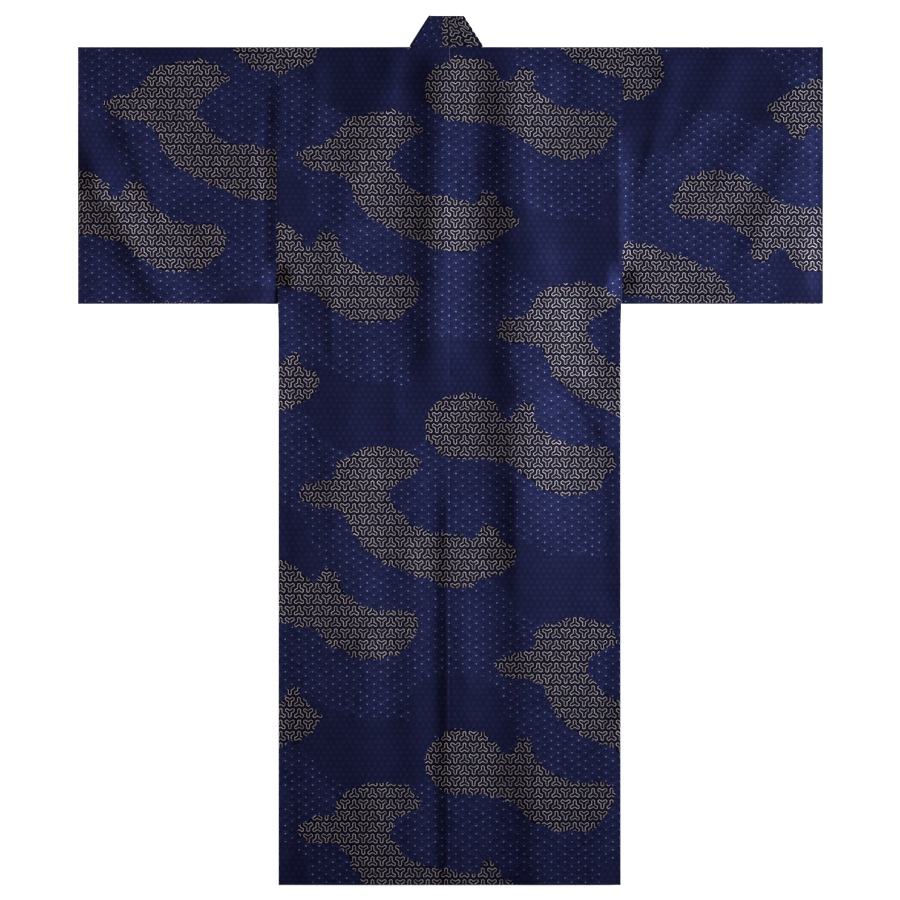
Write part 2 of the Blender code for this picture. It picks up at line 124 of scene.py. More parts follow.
# Folds of the upper layer, each a soft ridge along a line.
# start, end: x, y; left, right: half widths on the two sides seen from the start;
# height; fade_in, fade_out: shares of the length over which it rises and sinks
FOLD_COLUMNS = ("start", "end", "left", "right", "height", "fade_in", "fade_out")
FOLDS = (
    # body, roughly from the left side to the right
    ((-0.295, 0.682), (-0.298, 0.256), 0.087, 0.016, 0.0019, 0.20, 0.12),
    ((-0.267, 0.633), (-0.262, 0.246), 0.087, 0.190, 0.0030, 0.22, 0.25),
    ((-0.119, 0.675), (-0.229, 0.190), 0.059, 0.029, 0.0018, 0.20, 0.30),
    ((-0.184, 0.190), (-0.132, -0.779), 0.045, 0.076, 0.0024, 0.40, 0.02),
    ((-0.264, 0.156), (-0.247, -0.779), 0.048, 0.038, 0.0016, 0.40, 0.02),
    ((-0.016, 0.696), (-0.029, 0.052), 0.038, 0.038, 0.0045, 0.06, 0.26),
    ((-0.003, 0.017), (-0.001, -0.779), 0.055, 0.017, 0.0027, 0.22, 0.02),
    ((-0.070, 0.121), (-0.060, -0.779), 0.035, 0.035, 0.0018, 0.35, 0.02),
    ((0.098, 0.696), (0.131, -0.415), 0.067, 0.043, 0.0044, 0.07, 0.26),
    ((0.127, -0.190), (0.148, -0.779), 0.093, 0.038, 0.0023, 0.30, 0.02),
    ((0.106, 0.623), (0.139, 0.325), 0.017, 0.038, 0.0012, 0.30, 0.35),
    ((0.131, 0.407), (0.214, 0.087), 0.029, 0.052, 0.0023, 0.25, 0.16),
    ((0.288, 0.585), (0.288, 0.249), 0.017, 0.132, 0.0038, 0.25, 0.06),
    ((0.262, 0.633), (0.259, 0.249), 0.173, 0.087, 0.0024, 0.22, 0.25),
    ((0.086, 0.194), (0.200, -0.021), 0.024, 0.031, 0.0009, 0.35, 0.35),
    ((0.200, 0.017), (0.231, -0.505), 0.052, 0.076, 0.0013, 0.30, 0.30),
    ((0.269, -0.460), (0.269, -0.779), 0.052, 0.090, 0.0018, 0.15, 0.02),
    # left sleeve, down from its cuff edge towards the armhole
    ((-0.589, 0.619), (-0.485, 0.388), 0.035, 0.022, 0.0024, 0.30, 0.40),
    ((-0.641, 0.519), (-0.475, 0.221), 0.042, 0.028, 0.0030, 0.20, 0.02),
    ((-0.658, 0.613), (-0.596, 0.426), 0.026, 0.024, 0.0023, 0.25, 0.30),
    ((-0.520, 0.692), (-0.440, 0.502), 0.052, 0.045, 0.0011, 0.30, 0.50),
    ((-0.423, 0.450), (-0.354, 0.239), 0.052, 0.045, 0.0013, 0.40, 0.03),
    # right sleeve, a fan of drape lines from the shoulder fold and the cuff down to the underarm
    ((0.387, 0.703), (0.342, 0.450), 0.022, 0.021, 0.0014, 0.15, 0.40),
    ((0.508, 0.699), (0.342, 0.436), 0.028, 0.028, 0.0016, 0.18, 0.35),
    ((0.632, 0.685), (0.414, 0.381), 0.029, 0.029, 0.0017, 0.15, 0.30),
    ((0.636, 0.599), (0.491, 0.280), 0.029, 0.028, 0.0016, 0.25, 0.25),
    ((0.598, 0.658), (0.594, 0.260), 0.042, 0.138, 0.0030, 0.30, 0.10),
    ((0.349, 0.675), (0.328, 0.260), 0.208, 0.052, 0.0016, 0.30, 0.10),
)

# Finer creases between the folds, in the same columns
CREASES = (
    ((0.234, 0.696), (0.228, 0.536), 0.024, 0.021, 0.0005, 0.15, 0.40),
    ((0.200, 0.135), (0.269, 0.062), 0.021, 0.016, 0.0013, 0.40, 0.35),
    ((-0.340, 0.623), (-0.338, 0.287), 0.016, 0.028, 0.0007, 0.25, 0.20),
    ((0.269, 0.107), (0.276, -0.010), 0.028, 0.021, 0.0018, 0.35, 0.35),
    ((-0.094, 0.703), (-0.129, 0.474), 0.016, 0.024, 0.0012, 0.10, 0.50),
    ((-0.170, 0.696), (-0.164, 0.554), 0.014, 0.012, 0.0003, 0.15, 0.60),
    ((-0.229, 0.682), (-0.241, 0.493), 0.017, 0.021, 0.0009, 0.20, 0.50),
    ((0.020, 0.696), (0.023, 0.260), 0.016, 0.010, 0.0005, 0.10, 0.60),
    ((0.170, 0.696), (0.174, 0.585), 0.014, 0.012, 0.0006, 0.10, 0.50),
    ((-0.209, 0.311), (-0.202, 0.087), 0.014, 0.009, 0.0006, 0.30, 0.50),
    ((0.106, 0.164), (0.240, 0.054), 0.005, 0.005, -0.0005, 0.12, 0.15),
    ((0.113, -0.028), (0.115, -0.270), 0.021, 0.012, 0.0007, 0.15, 0.35),
    ((0.217, 0.083), (0.279, 0.017), 0.009, 0.007, 0.0006, 0.40, 0.40),
    ((-0.101, 0.208), (-0.091, -0.052), 0.017, 0.016, 0.0007, 0.40, 0.50),
    ((-0.209, 0.052), (-0.195, -0.294), 0.024, 0.021, 0.0007, 0.40, 0.50),
    ((-0.136, -0.190), (-0.146, -0.536), 0.024, 0.021, 0.0007, 0.40, 0.50),
    ((0.020, -0.156), (0.030, -0.536), 0.017, 0.012, 0.0006, 0.40, 0.50),
    ((0.148, -0.502), (0.157, -0.779), 0.028, 0.028, 0.0007, 0.40, 0.02),
    ((0.241, -0.571), (0.245, -0.779), 0.021, 0.017, 0.0005, 0.40, 0.02),
    ((-0.108, -0.606), (-0.101, -0.779), 0.017, 0.016, 0.0005, 0.40, 0.02),
    ((-0.593, 0.433), (-0.520, 0.294), 0.016, 0.014, 0.0005, 0.35, 0.45),
    ((-0.520, 0.554), (-0.440, 0.415), 0.017, 0.014, 0.0005, 0.35, 0.45),
    ((-0.402, 0.606), (-0.371, 0.467), 0.021, 0.017, 0.0004, 0.35, 0.45),
    ((0.359, 0.571), (0.318, 0.415), 0.014, 0.010, 0.0006, 0.35, 0.40),
    ((0.484, 0.363), (0.369, 0.301), 0.016, 0.014, 0.0005, 0.35, 0.40),
)

# Broad unevenness of cloth that lies loose: wave length, direction in degrees, phase, height
WAVES = (
    (0.310, 8, 0.4, 0.00016),
    (0.187, -23, 2.1, 0.00013),
    (0.121, 31, 4.4, 0.00010),
    (0.083, -52, 1.2, 0.00008),
    (0.057, 74, 5.3, 0.00006),
)

# Turned edges and seams
HEM_TURN = 0.020
CUFF_TURN = 0.011
TURN_RISE = 0.00025  # the cloth turned in lifts the outer layer
TURN_STEP = 0.004
SEAM_DIP = 0.00010  # outer layer drawn down along a sewn edge
SEAM_DIP_WIDTH = 0.0042
CENTRE_DIP = 0.00018
CENTRE_DIP_WIDTH = 0.0020
SIDE_RISE = 0.0016  # the cloth folded in at the side seams lifts the outer layer
SIDE_RISE_WIDTH = 0.031
SIDE_RISE_FADE = 0.120  # below the armhole
SIDE_RISE_END = 1.700  # past the hem, so the lift only begins to ease off there
SIDE_RISE_END_FADE = 0.300
RIPPLE_START = 0.020  # below the shoulder fold
PUCKER = 0.00016  # ripples that die away from a seam
PUCKER_REACH = 0.013
PUCKER_STITCHES = (0.0170, 0.0271)

# Grid. A CROWD says how much the steps shrink towards the start and the end, 0 to 1
SIDE_CROWD = (0.85, 0.0)
NECK_CROWD = (0.0, 0.90)
BACK_CROWD = (0.75, 0.40)
FRONT_CROWD = (0.5, 0.4)
SLEEVE_SPAN_CROWD = (0.80, 0.55)
SLEEVE_BACK_CROWD = (0.6, 0.3)
SLEEVE_FRONT_CROWD = (0.4, 0.4)
BAND_CROWD = (0.75, 0.75)
BAND_FRONT_CROWD = (0.4, 0.0)
CROWD_REACH = 0.3  # share of the steps that are crowded at each end
BODY_SIDE_COLUMNS = 74
BODY_NECK_COLUMNS = 20
BODY_ROWS = 280
FRONT_ROWS = 110
SLEEVE_COLUMNS = 92
SLEEVE_ROWS = 104
SLEEVE_FRONT_ROWS = 44
FOLD_STEPS = 10
OKUMI_COLUMNS = 22
OKUMI_ROWS = 150
COLLAR_COLUMNS = 12
COLLAR_FRONT_ROWS = 96
COLLAR_BACK_ROWS = 36
SHARP_ANGLE = 50  # degrees between faces, past which their edge isn't smoothed

# Print. Its own plane starts at the left tip of a long cloud, u across the cloth and v up it.
# A repeat is one column over and down, and one row up.
COLUMN_STEP = (0.3391, -0.2976)
ROW_STEP = 0.5814
LOBE_COLUMNS = ("u", "v", "half_width", "half_height", "turn")
CLOUD_LOBES = (
    # long cloud: tip, head, hook, middle, waist, fill, tail, tail tip, bump, underside
    (0.0536, 0.0000, 0.0536, 0.0242, 0),
    (0.1315, 0.0450, 0.0675, 0.0363, 6),
    (0.1800, 0.0554, 0.0277, 0.0138, -18),
    (0.1125, 0.0000, 0.0467, 0.0433, 0),
    (0.1384, -0.0554, 0.0640, 0.0433, -50),
    (0.1834, -0.0848, 0.0450, 0.0329, -20),
    (0.2422, -0.1073, 0.1038, 0.0415, -8),
    (0.3288, -0.1073, 0.0484, 0.0294, 4),
    (0.3288, -0.0779, 0.0156, 0.0260, 0),
    (0.2699, -0.1332, 0.0467, 0.0294, 0),
    # short cloud: head, back, bump, middle, tail, tip
    (0.2855, 0.1177, 0.0675, 0.0571, 0),
    (0.3547, 0.0900, 0.0588, 0.0363, -8),
    (0.3893, 0.1280, 0.0190, 0.0311, 0),
    (0.4084, 0.0692, 0.0588, 0.0415, -32),
    (0.4637, 0.0415, 0.0727, 0.0433, -4),
    (0.5139, 0.0571, 0.0329, 0.0242, 18),
)
LEAF_LOBES = (
    (0.1315, 0.1315, 0.1073, 0.0623, 0),
    (0.0346, 0.1765, 0.0727, 0.0415, -20),
    (0.2717, 0.2163, 0.0831, 0.0554, 0),
    (0.3478, 0.1696, 0.0294, 0.0260, 0),
)
LOBE_BLEND = 0.0156  # how far neighbouring lobes melt into one another
TILE_PERIOD = 0.0318  # an upright and an inverted three-lobed tile, side by side
TILE_ROW = 0.0197
SCALE_RADIUS = 0.0118
SCALE_ROW = 0.0070
STAR_SIDE = 0.0110
WANDER = 0.0011  # how far a printed line strays from its true place
CLOUD_RAGGEDNESS = 0.014
THREAD_PITCH = 0.00085
STITCH_STEP = 0.011

# Bands of ink or thread: middle, half width, softness. Tiles go by the depth inside a tile, arcs by
# shares of a scale's radius, stitches by the distance to the edge and then by shares of a step
TILE_OUTLINE = (0.0031, 0.00027, 0.00012)
WIDE_ARC = (0.875, 0.075, 0.02)
THIN_ARCS = (0.47, 0.27, 0.01)
STITCH_LINE = (0.0185, 0.0007, 0.0003)
STITCH_LENGTH = (0.5, 0.11, 0.03)

# Edges by the same measures: where a thing begins and where it is full, or the other way round
TILE_NET = (0.0010, 0.0015)
TILE_HEART = (0.0049, 0.0053)
SCALE_DOT = (0.070, 0.115)
STAR_LINE = (0.02, 0.08)
STAR_CENTRE_LINE = (0.02, 0.11)
LEAF_EDGE = (-0.005, 0.004)
CLOUD_EDGE = (-0.0002, 0.0002)
WORN_EDGE = (0.0006, 0.0030)

# Thin arcs inside a scale, by shares of its radius
THIN_ARC_START = 0.66
THIN_ARC_STEP = 0.17
THIN_ARC_EDGE = (0.45, 0.85)

# Strength of the ink and the dye, faintest and strongest
ARC_INK = (0.40, 1.00)
WIDE_ARC_SHARE = 0.70
THIN_ARC_SHARE = 0.60
DOT_INK = (0.21, 0.83)
OUTLINE_INK = (0.52, 1.00)
STAR_INK = 0.50
MOTTLE = (0.72, 1.28)
SLUB_GROUND = 0.34  # shade of the cloth where there is no slub, and what the slubs add
SLUB_WARP = 0.70
SLUB_WEFT = 0.62
WORN_SHARE = 0.35
REVERSE_SHARE = 0.55

# Noise over the print's plane: scale, detail
WANDER_NOISE = (130.0, 2.0)
MOTTLE_NOISE = (26.0, 3.0)
SLUB_NOISE = (900.0, 2.0)
INK_NOISE = (95.0, 3.0)
INK_EDGE = (0.28, 0.66)
RAGGED_NOISE = (46.0, 1.0)
CRUMPLE_NOISE = (34.0, 4.0)
NOISE_ROUGHNESS = 0.55
SLUB_STRETCH = 0.035  # along the thread, against 1 across it

# Relief too fine for the shells, in metres
WEAVE_DEPTH = 0.00003
SLUB_DEPTH = 0.00005
CRUMPLE_DEPTH = 0.0004
STITCH_DEPTH = 0.0004

ROUGHNESS = (0.74, 0.90)
COTTON_FINISH = {
    "Specular IOR Level": 0.10,
    "Specular Tint": (0.30, 0.38, 1.0, 1.0),
    "Sheen Weight": 0.07,
    "Sheen Roughness": 0.45,
    "Sheen Tint": (0.06, 0.12, 1.0, 1.0),
}

# Strength of the dye of each kind of panel
TONES = {"body": 1.0, "sleeve": 1.05, "okumi": 0.98, "collar": 1.0}

# Floor disc, camera, and soft boxes by place, aim, size and spread of the beam in degrees
FLOOR_RINGS = 12
FLOOR_SPOKES = 64
FLOOR_FIRST_RADIUS = 0.2
FLOOR_NOISE = (3.0, 2.0)  # scale, detail
FLOOR_DULLEST = 0.985  # share of the board's colour that its noise leaves
FLOOR_FINISH = {
    "Roughness": 0.9,
    "Specular IOR Level": 0.1,
    "Emission Color": (1.0, 1.0, 1.0, 1.0),
}
SENSOR_WIDTH = 36.0  # millimetres
CLIP_END = 100.0
SOFTBOXES = {
    "key": ((6.6, 0.35, 0.86), (0.1, 0.14, 0.0), (1.0, 0.8), 24),
    "fill": ((-1.9, 0.5, 2.0), (-0.5, 0.1, 0.0), (0.9, 0.9), 70),
}

# Where each panel lies on the print: shift in u and v; -1 turns the cloth end for end
BODY_PRINT = (0.2621, -0.5053, 1)
SLEEVE_PRINT = {-1: (0.5961, -0.5935, 1), 1: (0.9283, 0.4810, -1)}
OKUMI_PRINT = {-1: (0.4100, 0.2300, 1), 1: (0.1300, 0.0700, 1)}
COLLAR_PRINT = (0.2595, 0.0770, 1)

COS_30 = math.sqrt(3) / 2


def smooth(value):
    """Goes softly from 0 at 0 to 1 at 1: 3 t^2 - 2 t^3."""
    value = np.clip(value, 0.0, 1.0)
    return value * value * (3.0 - 2.0 * value)


def blend(start, end, share):
    return start + (end - start) * share


def spread(count, crowd):
    """Shares from 0 to 1 whose steps shrink towards the ends.

    A step is 1 - start (1 - smooth(t / reach)) - end (1 - smooth((1 - t) / reach)) for its place t;
    the steps are added up and scaled to 1.
    """
    t = (np.arange(count) + 0.5) / count
    near_start, near_end = 1.0 - smooth(t / CROWD_REACH), 1.0 - smooth((1.0 - t) / CROWD_REACH)
    steps = 1.0 - crowd[0] * near_start - crowd[1] * near_end
    shares = np.concatenate(([0.0], np.cumsum(steps)))
    return shares / shares[-1]


def read_curve(table, depth):
    """Reads a table of depth and reach with a cubic through neighbouring rows."""
    knots, reaches = np.array(table).T
    before = np.concatenate(([0], np.arange(len(knots) - 1)))
    after = np.concatenate((np.arange(1, len(knots)), [len(knots) - 1]))
    slopes = (reaches[after] - reaches[before]) / (knots[after] - knots[before])
    depth = np.clip(depth, knots[0], knots[-1])
    row = np.clip(np.searchsorted(knots, depth) - 1, 0, len(knots) - 2)
    span = knots[row + 1] - knots[row]
    t = (depth - knots[row]) / span
    return (
        reaches[row] * (2 * t**3 - 3 * t**2 + 1)
        + slopes[row] * span * (t**3 - 2 * t**2 + t)
        + reaches[row + 1] * (3 * t**2 - 2 * t**3)
        + slopes[row + 1] * span * (t**3 - t**2)
    )


def ridge_height(table, x, y):
    """Adds up the ridges: across its line each is a bell, along it a rise and a fall."""
    total = np.zeros(np.shape(x))
    for row in table:
        fold = dict(zip(FOLD_COLUMNS, row))
        (x0, y0), (x1, y1) = fold["start"], fold["end"]
        length = math.hypot(x1 - x0, y1 - y0)
        along_x, along_y = (x1 - x0) / length, (y1 - y0) / length
        along = ((x - x0) * along_x + (y - y0) * along_y) / length
        across = (x - x0) * -along_y + (y - y0) * along_x
        width = np.where(across > 0, fold["left"], fold["right"])
        rise = smooth(along / fold["fade_in"]) * smooth((1 - along) / fold["fade_out"])
        total += fold["height"] * rise * np.exp(-((across / width) ** 2))
    return total


def wave_height(x, y):
    """Adds up the broad waves, each a sine along its own direction, lifted to be above zero."""
    total = np.zeros(np.shape(x))
    for length, direction, phase, height in WAVES:
        turn = math.radians(direction)
        along = x * math.cos(turn) + y * math.sin(turn)
        total += height * (1.0 + np.sin(math.tau * along / length + phase))
    return total


def pucker_height(along, distance):
    """Ripples along a seam: two sines of unlike length, dying away with the distance from it."""
    ripples = sum(np.sin(math.tau * along / stitch) for stitch in PUCKER_STITCHES)
    return PUCKER * ripples * np.exp(-np.abs(distance) / PUCKER_REACH)


def seam_distances(x, y):
    """Distances to the sewn sides and cuffs, with the share of the seam that is sewn there."""
    depth = SHOULDER_Y - y
    from_side = np.abs(side_reach(depth) - np.abs(x - CENTRE_X))
    from_cuff = SPAN / 2 - np.abs(x)
    return ((from_side, ARMHOLE_DEPTH), (from_cuff, CUFF_OPENING))


def seam_press(x, y):
    """Share of a fold's height that is left near the sides and cuffs that are sewn shut."""
    left = 1.0
    for distance, top in seam_distances(x, y):
        sewn = smooth((SHOULDER_Y - y - top) / SEAM_PRESS_START)
        left = left * (1.0 - sewn * (1.0 - smooth(distance / SEAM_PRESS_WIDTH)))
    return left


def layer_height(x, y):
    """What the upper layer lies on: low at the sides, higher over the fronts and collar bands."""
    depth = SHOULDER_Y - y
    middle = blend(
        UPPER_AT_COLLAR, UPPER_AT_SKIRT, smooth((depth - SKIRT_TOP_DEPTH) / SKIRT_SLOPE)
    )
    left = x < CENTRE_X
    slope = np.where(left, MIDDLE_SLOPE[-1], MIDDLE_SLOPE[1])
    half_width = np.where(left, MIDDLE_HALF_WIDTH[-1], MIDDLE_HALF_WIDTH[1])
    half_width = blend(NECK_PLATEAU, half_width, smooth(depth / NECK_PLATEAU_DEPTH))
    reach = half_width + slope - np.abs(x - CENTRE_X)
    return blend(UPPER_AT_SIDE, middle, smooth(reach / slope))


def upper_height(x, y, cut):
    """Underside of the back and of the sleeves' upper layers.

    The layers below, plus folds, creases and waves that are pressed flat at sewn edges, plus the
    step of a turned hem or cuff, less the dip along each seam.
    """
    depth = SHOULDER_Y - y
    folds = cut.fold_rise * ridge_height(FOLDS, x, y)
    creases = cut.crease_rise * (ridge_height(CREASES, x, y) + wave_height(x, y))
    height = layer_height(x, y) + (folds + creases) * seam_press(x, y)
    from_side, from_cuff = (distance for distance, _ in seam_distances(x, y))
    off_centre = np.abs(x - CENTRE_X)
    on_body = off_centre < side_reach(depth)
    hem = smooth((depth - LENGTH + HEM_TURN) / TURN_STEP)
    cuff = smooth((CUFF_TURN - from_cuff) / TURN_STEP)
    height = height + TURN_RISE * (hem + cuff * (depth < CUFF_OPENING))
    side_sewn = smooth((depth - ARMHOLE_DEPTH) / SIDE_RISE_FADE)
    side_sewn = side_sewn * smooth((SIDE_RISE_END - depth) / SIDE_RISE_END_FADE) * on_body
    height = height + SIDE_RISE * side_sewn * smooth(1.0 - from_side / SIDE_RISE_WIDTH)
    cuff_sewn = smooth((depth - CUFF_OPENING) / SEAM_PRESS_START)
    dips = SEAM_DIP * np.exp(-((from_side / SEAM_DIP_WIDTH) ** 2))
    dips = dips + SEAM_DIP * cuff_sewn * np.exp(-((from_cuff / SEAM_DIP_WIDTH) ** 2))
    dips = dips + CENTRE_DIP * on_body * np.exp(-((off_centre / CENTRE_DIP_WIDTH) ** 2))
    ripples = pucker_height(y, from_side) + pucker_height(y, off_centre) * on_body
    return height - dips + ripples * smooth(depth / RIPPLE_START)


def neck_line(depth):
    return CENTRE_X + NECK_SHIFT * (1.0 - smooth(depth / NECK_SHIFT_DEPTH))


def right_front_height(x, y):
    """Underside of the right front: on the surface, but over the left front where that lies."""
    depth = SHOULDER_Y - y
    past_left_edge = x - neck_line(depth) - read_curve(COLLAR_EDGE, depth)
    over = smooth((FRONT_STEP_MARGIN + FRONT_STEP_SLOPE - past_left_edge) / FRONT_STEP_SLOPE)
    below_bands = smooth((depth - COLLAR_END_DEPTH) / (SKIRT_TOP_DEPTH - COLLAR_END_DEPTH))
    step = blend(RIGHT_FRONT_OVER_COLLAR, RIGHT_FRONT_OVER_SKIRT, below_bands)
    return step * over * smooth(depth / NECK_LIFT_DEPTH)


def left_front_height(x, y):
    return np.zeros(np.shape(x))


LOWER_HEIGHT = {-1: left_front_height, 1: right_front_height}
SIDE_WORDS = {-1: "left", 1: "right"}


def side_reach(depth):
    """Centre to the body's side."""
    share = smooth((depth - ARMHOLE_DEPTH) / (SIDE_STRAIGHT_DEPTH - ARMHOLE_DEPTH))
    return blend(ARMHOLE_WIDTH, BACK_WIDTH, share)


def okumi_seam_reach(depth):
    """Reach past the centre of the seam between a front and its overlap panel."""
    top = read_curve(COLLAR_SEAM, OKUMI_POINT_DEPTH) - SEAM_GAP - OKUMI_POINT_WIDTH
    share = (depth - OKUMI_POINT_DEPTH) / (OKUMI_SEAM_STRAIGHT_DEPTH - OKUMI_POINT_DEPTH)
    return blend(top, -OKUMI_SEAM_OFFSET, smooth(share))


def front_panel_reach(depth):
    along_collar = read_curve(COLLAR_SEAM, depth) - SEAM_GAP
    return np.where(depth < OKUMI_POINT_DEPTH, along_collar, okumi_seam_reach(depth) - SEAM_GAP)


def points(x, y, z):
    return np.stack(np.broadcast_arrays(x, y, z), axis=-1)


def facing(x, y, z, like):
    """The same direction for every point of a grid."""
    return np.broadcast_to(np.array((x, y, z), float), like.shape)


def half_turn(x, upper, lower, edge_y, outward, thickness):
    """Half circle about X from the upper layer's middle to the lower one's.

    Row by row the angle goes from 0 to 180 degrees; the point lies at the radius in Y and Z, and
    the direction out of the fold is the radius itself.
    """
    turn = np.linspace(0.0, math.pi, FOLD_STEPS + 1)[:, None]
    radius = (upper - lower) / 2
    centre_y = edge_y - outward * (radius + thickness / 2)
    across, up = np.sin(turn), np.cos(turn)
    middle = points(x, centre_y + outward * radius * across, (upper + lower) / 2 + radius * up)
    return middle, points(0.0 * x, outward * across, up + 0.0 * x)


def lobe_field(table, u, v):
    """How deep a point lies in the lobes of the repeating clouds, below 0 outside them.

    Each lobe is an ellipse; the point is first brought into the lobe's own repeat. Two depths
    a and b join to the greater, plus a quarter of blend h^2, where h = max(1 - |a - b| / blend, 0).
    """
    field = np.full(np.shape(u), -1.0)
    for row in table:
        lobe = dict(zip(LOBE_COLUMNS, row))
        du, dv = u - lobe["u"], v - lobe["v"]
        column = np.round(du / COLUMN_STEP[0])
        du, dv = du - column * COLUMN_STEP[0], dv - column * COLUMN_STEP[1]
        dv = dv - ROW_STEP * np.round(dv / ROW_STEP)
        turn = math.radians(lobe["turn"])
        along = du * math.cos(turn) + dv * math.sin(turn)
        across = dv * math.cos(turn) - du * math.sin(turn)
        reach = np.hypot(along / lobe["half_width"], across / lobe["half_height"])
        depth = (1.0 - reach) * min(lobe["half_width"], lobe["half_height"])
        near = np.clip(1.0 - np.abs(field - depth) / LOBE_BLEND, 0.0, 1.0)
        field = np.maximum(field, depth) + near * near * LOBE_BLEND / 4
    return field


def print_place(u, v, place):
    """Brings a panel's own coordinates onto the print."""
    shift_u, shift_v, way = place
    return np.stack(np.broadcast_arrays(shift_u + way * u, shift_v + way * v), axis=-1)


def add_shell(name, middle, outward, thickness, on_print, edge, last=None, ring=False, flip=False):
    """Makes a closed shell of cloth round a grid of middle points.

    Outer skin: middle + thickness/2 * outward; inner skin: middle - thickness/2 * outward; walls
    join them along every free edge. last gives the last column of each row where a row is short.
    on_print and edge, one row more for a ring, give each point's place on the print and its
    distance to the nearest turned edge.
    """
    rows, columns = middle.shape[:2]
    last = np.full(rows, columns - 1) if last is None else last
    i, j = np.meshgrid(np.arange(rows if ring else rows - 1), np.arange(columns - 1), indexing="ij")
    following = (i + 1) % rows
    kept = j < np.minimum(last[i], last[following])
    i, j, following = i[kept], j[kept], following[kept]
    corner_rows = np.stack((i, i, following, following), axis=1)
    value_rows = np.stack((i, i, i + 1, i + 1), axis=1)
    corner_columns = np.stack((j, j + 1, j + 1, j), axis=1)
    quads = corner_rows * columns + corner_columns
    values = value_rows * columns + corner_columns
    if flip:
        quads, values = quads[:, ::-1], values[:, ::-1]
    starts, ends = quads.ravel(), np.roll(quads, -1, axis=1).ravel()
    start_values, end_values = values.ravel(), np.roll(values, -1, axis=1).ravel()
    size = rows * columns
    rim = ~np.isin(starts * size + ends, ends * size + starts)
    a, b = starts[rim], ends[rim]
    walls = np.stack((b, a, size + a, size + b), axis=1)
    a, b = start_values[rim], end_values[rim]
    wall_values = np.stack((b, a, a, b), axis=1)
    faces = np.concatenate((quads, size + quads[:, ::-1], walls))
    corners = np.concatenate((values, values[:, ::-1], wall_values)).ravel()
    shift = 0.5 * np.broadcast_to(thickness, middle.shape[:2])[..., None] * outward
    skins = np.concatenate((middle + shift, middle - shift)).reshape(-1, 3)
    used, indices = np.unique(faces, return_inverse=True)
    mesh = bpy.data.meshes.new(name)
    mesh.vertices.add(len(used))
    mesh.vertices.foreach_set("co", skins[used].astype(np.float32).ravel())
    mesh.loops.add(faces.size)
    mesh.loops.foreach_set("vertex_index", indices.ravel().astype(np.int32))
    mesh.polygons.add(len(faces))
    mesh.polygons.foreach_set("loop_start", np.arange(0, faces.size, 4, dtype=np.int32))
    mesh.update(calc_edges=True)
    place = on_print.reshape(-1, 2)[corners].astype(np.float32)
    mesh.uv_layers.new(name="print_place")
    mesh.uv_layers["print_place"].uv.foreach_set("vector", place.ravel())
    inner = np.zeros(faces.size, np.float32)
    inner[quads.size : 2 * quads.size] = 1.0
    fields = {
        "cloud": lobe_field(CLOUD_LOBES, place[:, 0], place[:, 1]),
        "leaf": lobe_field(LEAF_LOBES, place[:, 0], place[:, 1]),
        "edge": edge.reshape(-1)[corners],
        "reverse": inner,
    }
    for field, numbers in fields.items():
        mesh.attributes.new(field, "FLOAT", "CORNER")
        mesh.attributes[field].data.foreach_set("value", numbers.astype(np.float32))
    mesh.shade_smooth()
    mesh.set_sharp_from_angle(angle=math.radians(SHARP_ANGLE))
    piece = bpy.data.objects.new(name, mesh)
    bpy.context.scene.collection.objects.link(piece)
    return piece


def finish_piece(piece, node, material):
    """Dresses a panel and puts it in place of its solid."""
    piece.data.materials.append(material)
    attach(piece, "root")
    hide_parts(node)


def down_the_cloth(middle, back_rows):
    """Length run along the grid's rows: in plan on the back, along the cloth after it."""
    steps = np.diff(middle, axis=0)
    flat = np.abs(steps[..., 1])
    along = np.linalg.norm(steps * (0.0, 1.0, 1.0), axis=-1)
    run = np.where(np.arange(len(steps))[:, None] < back_rows - 1, flat, along)
    return np.concatenate((np.zeros((1, middle.shape[1])), np.cumsum(run, axis=0)))


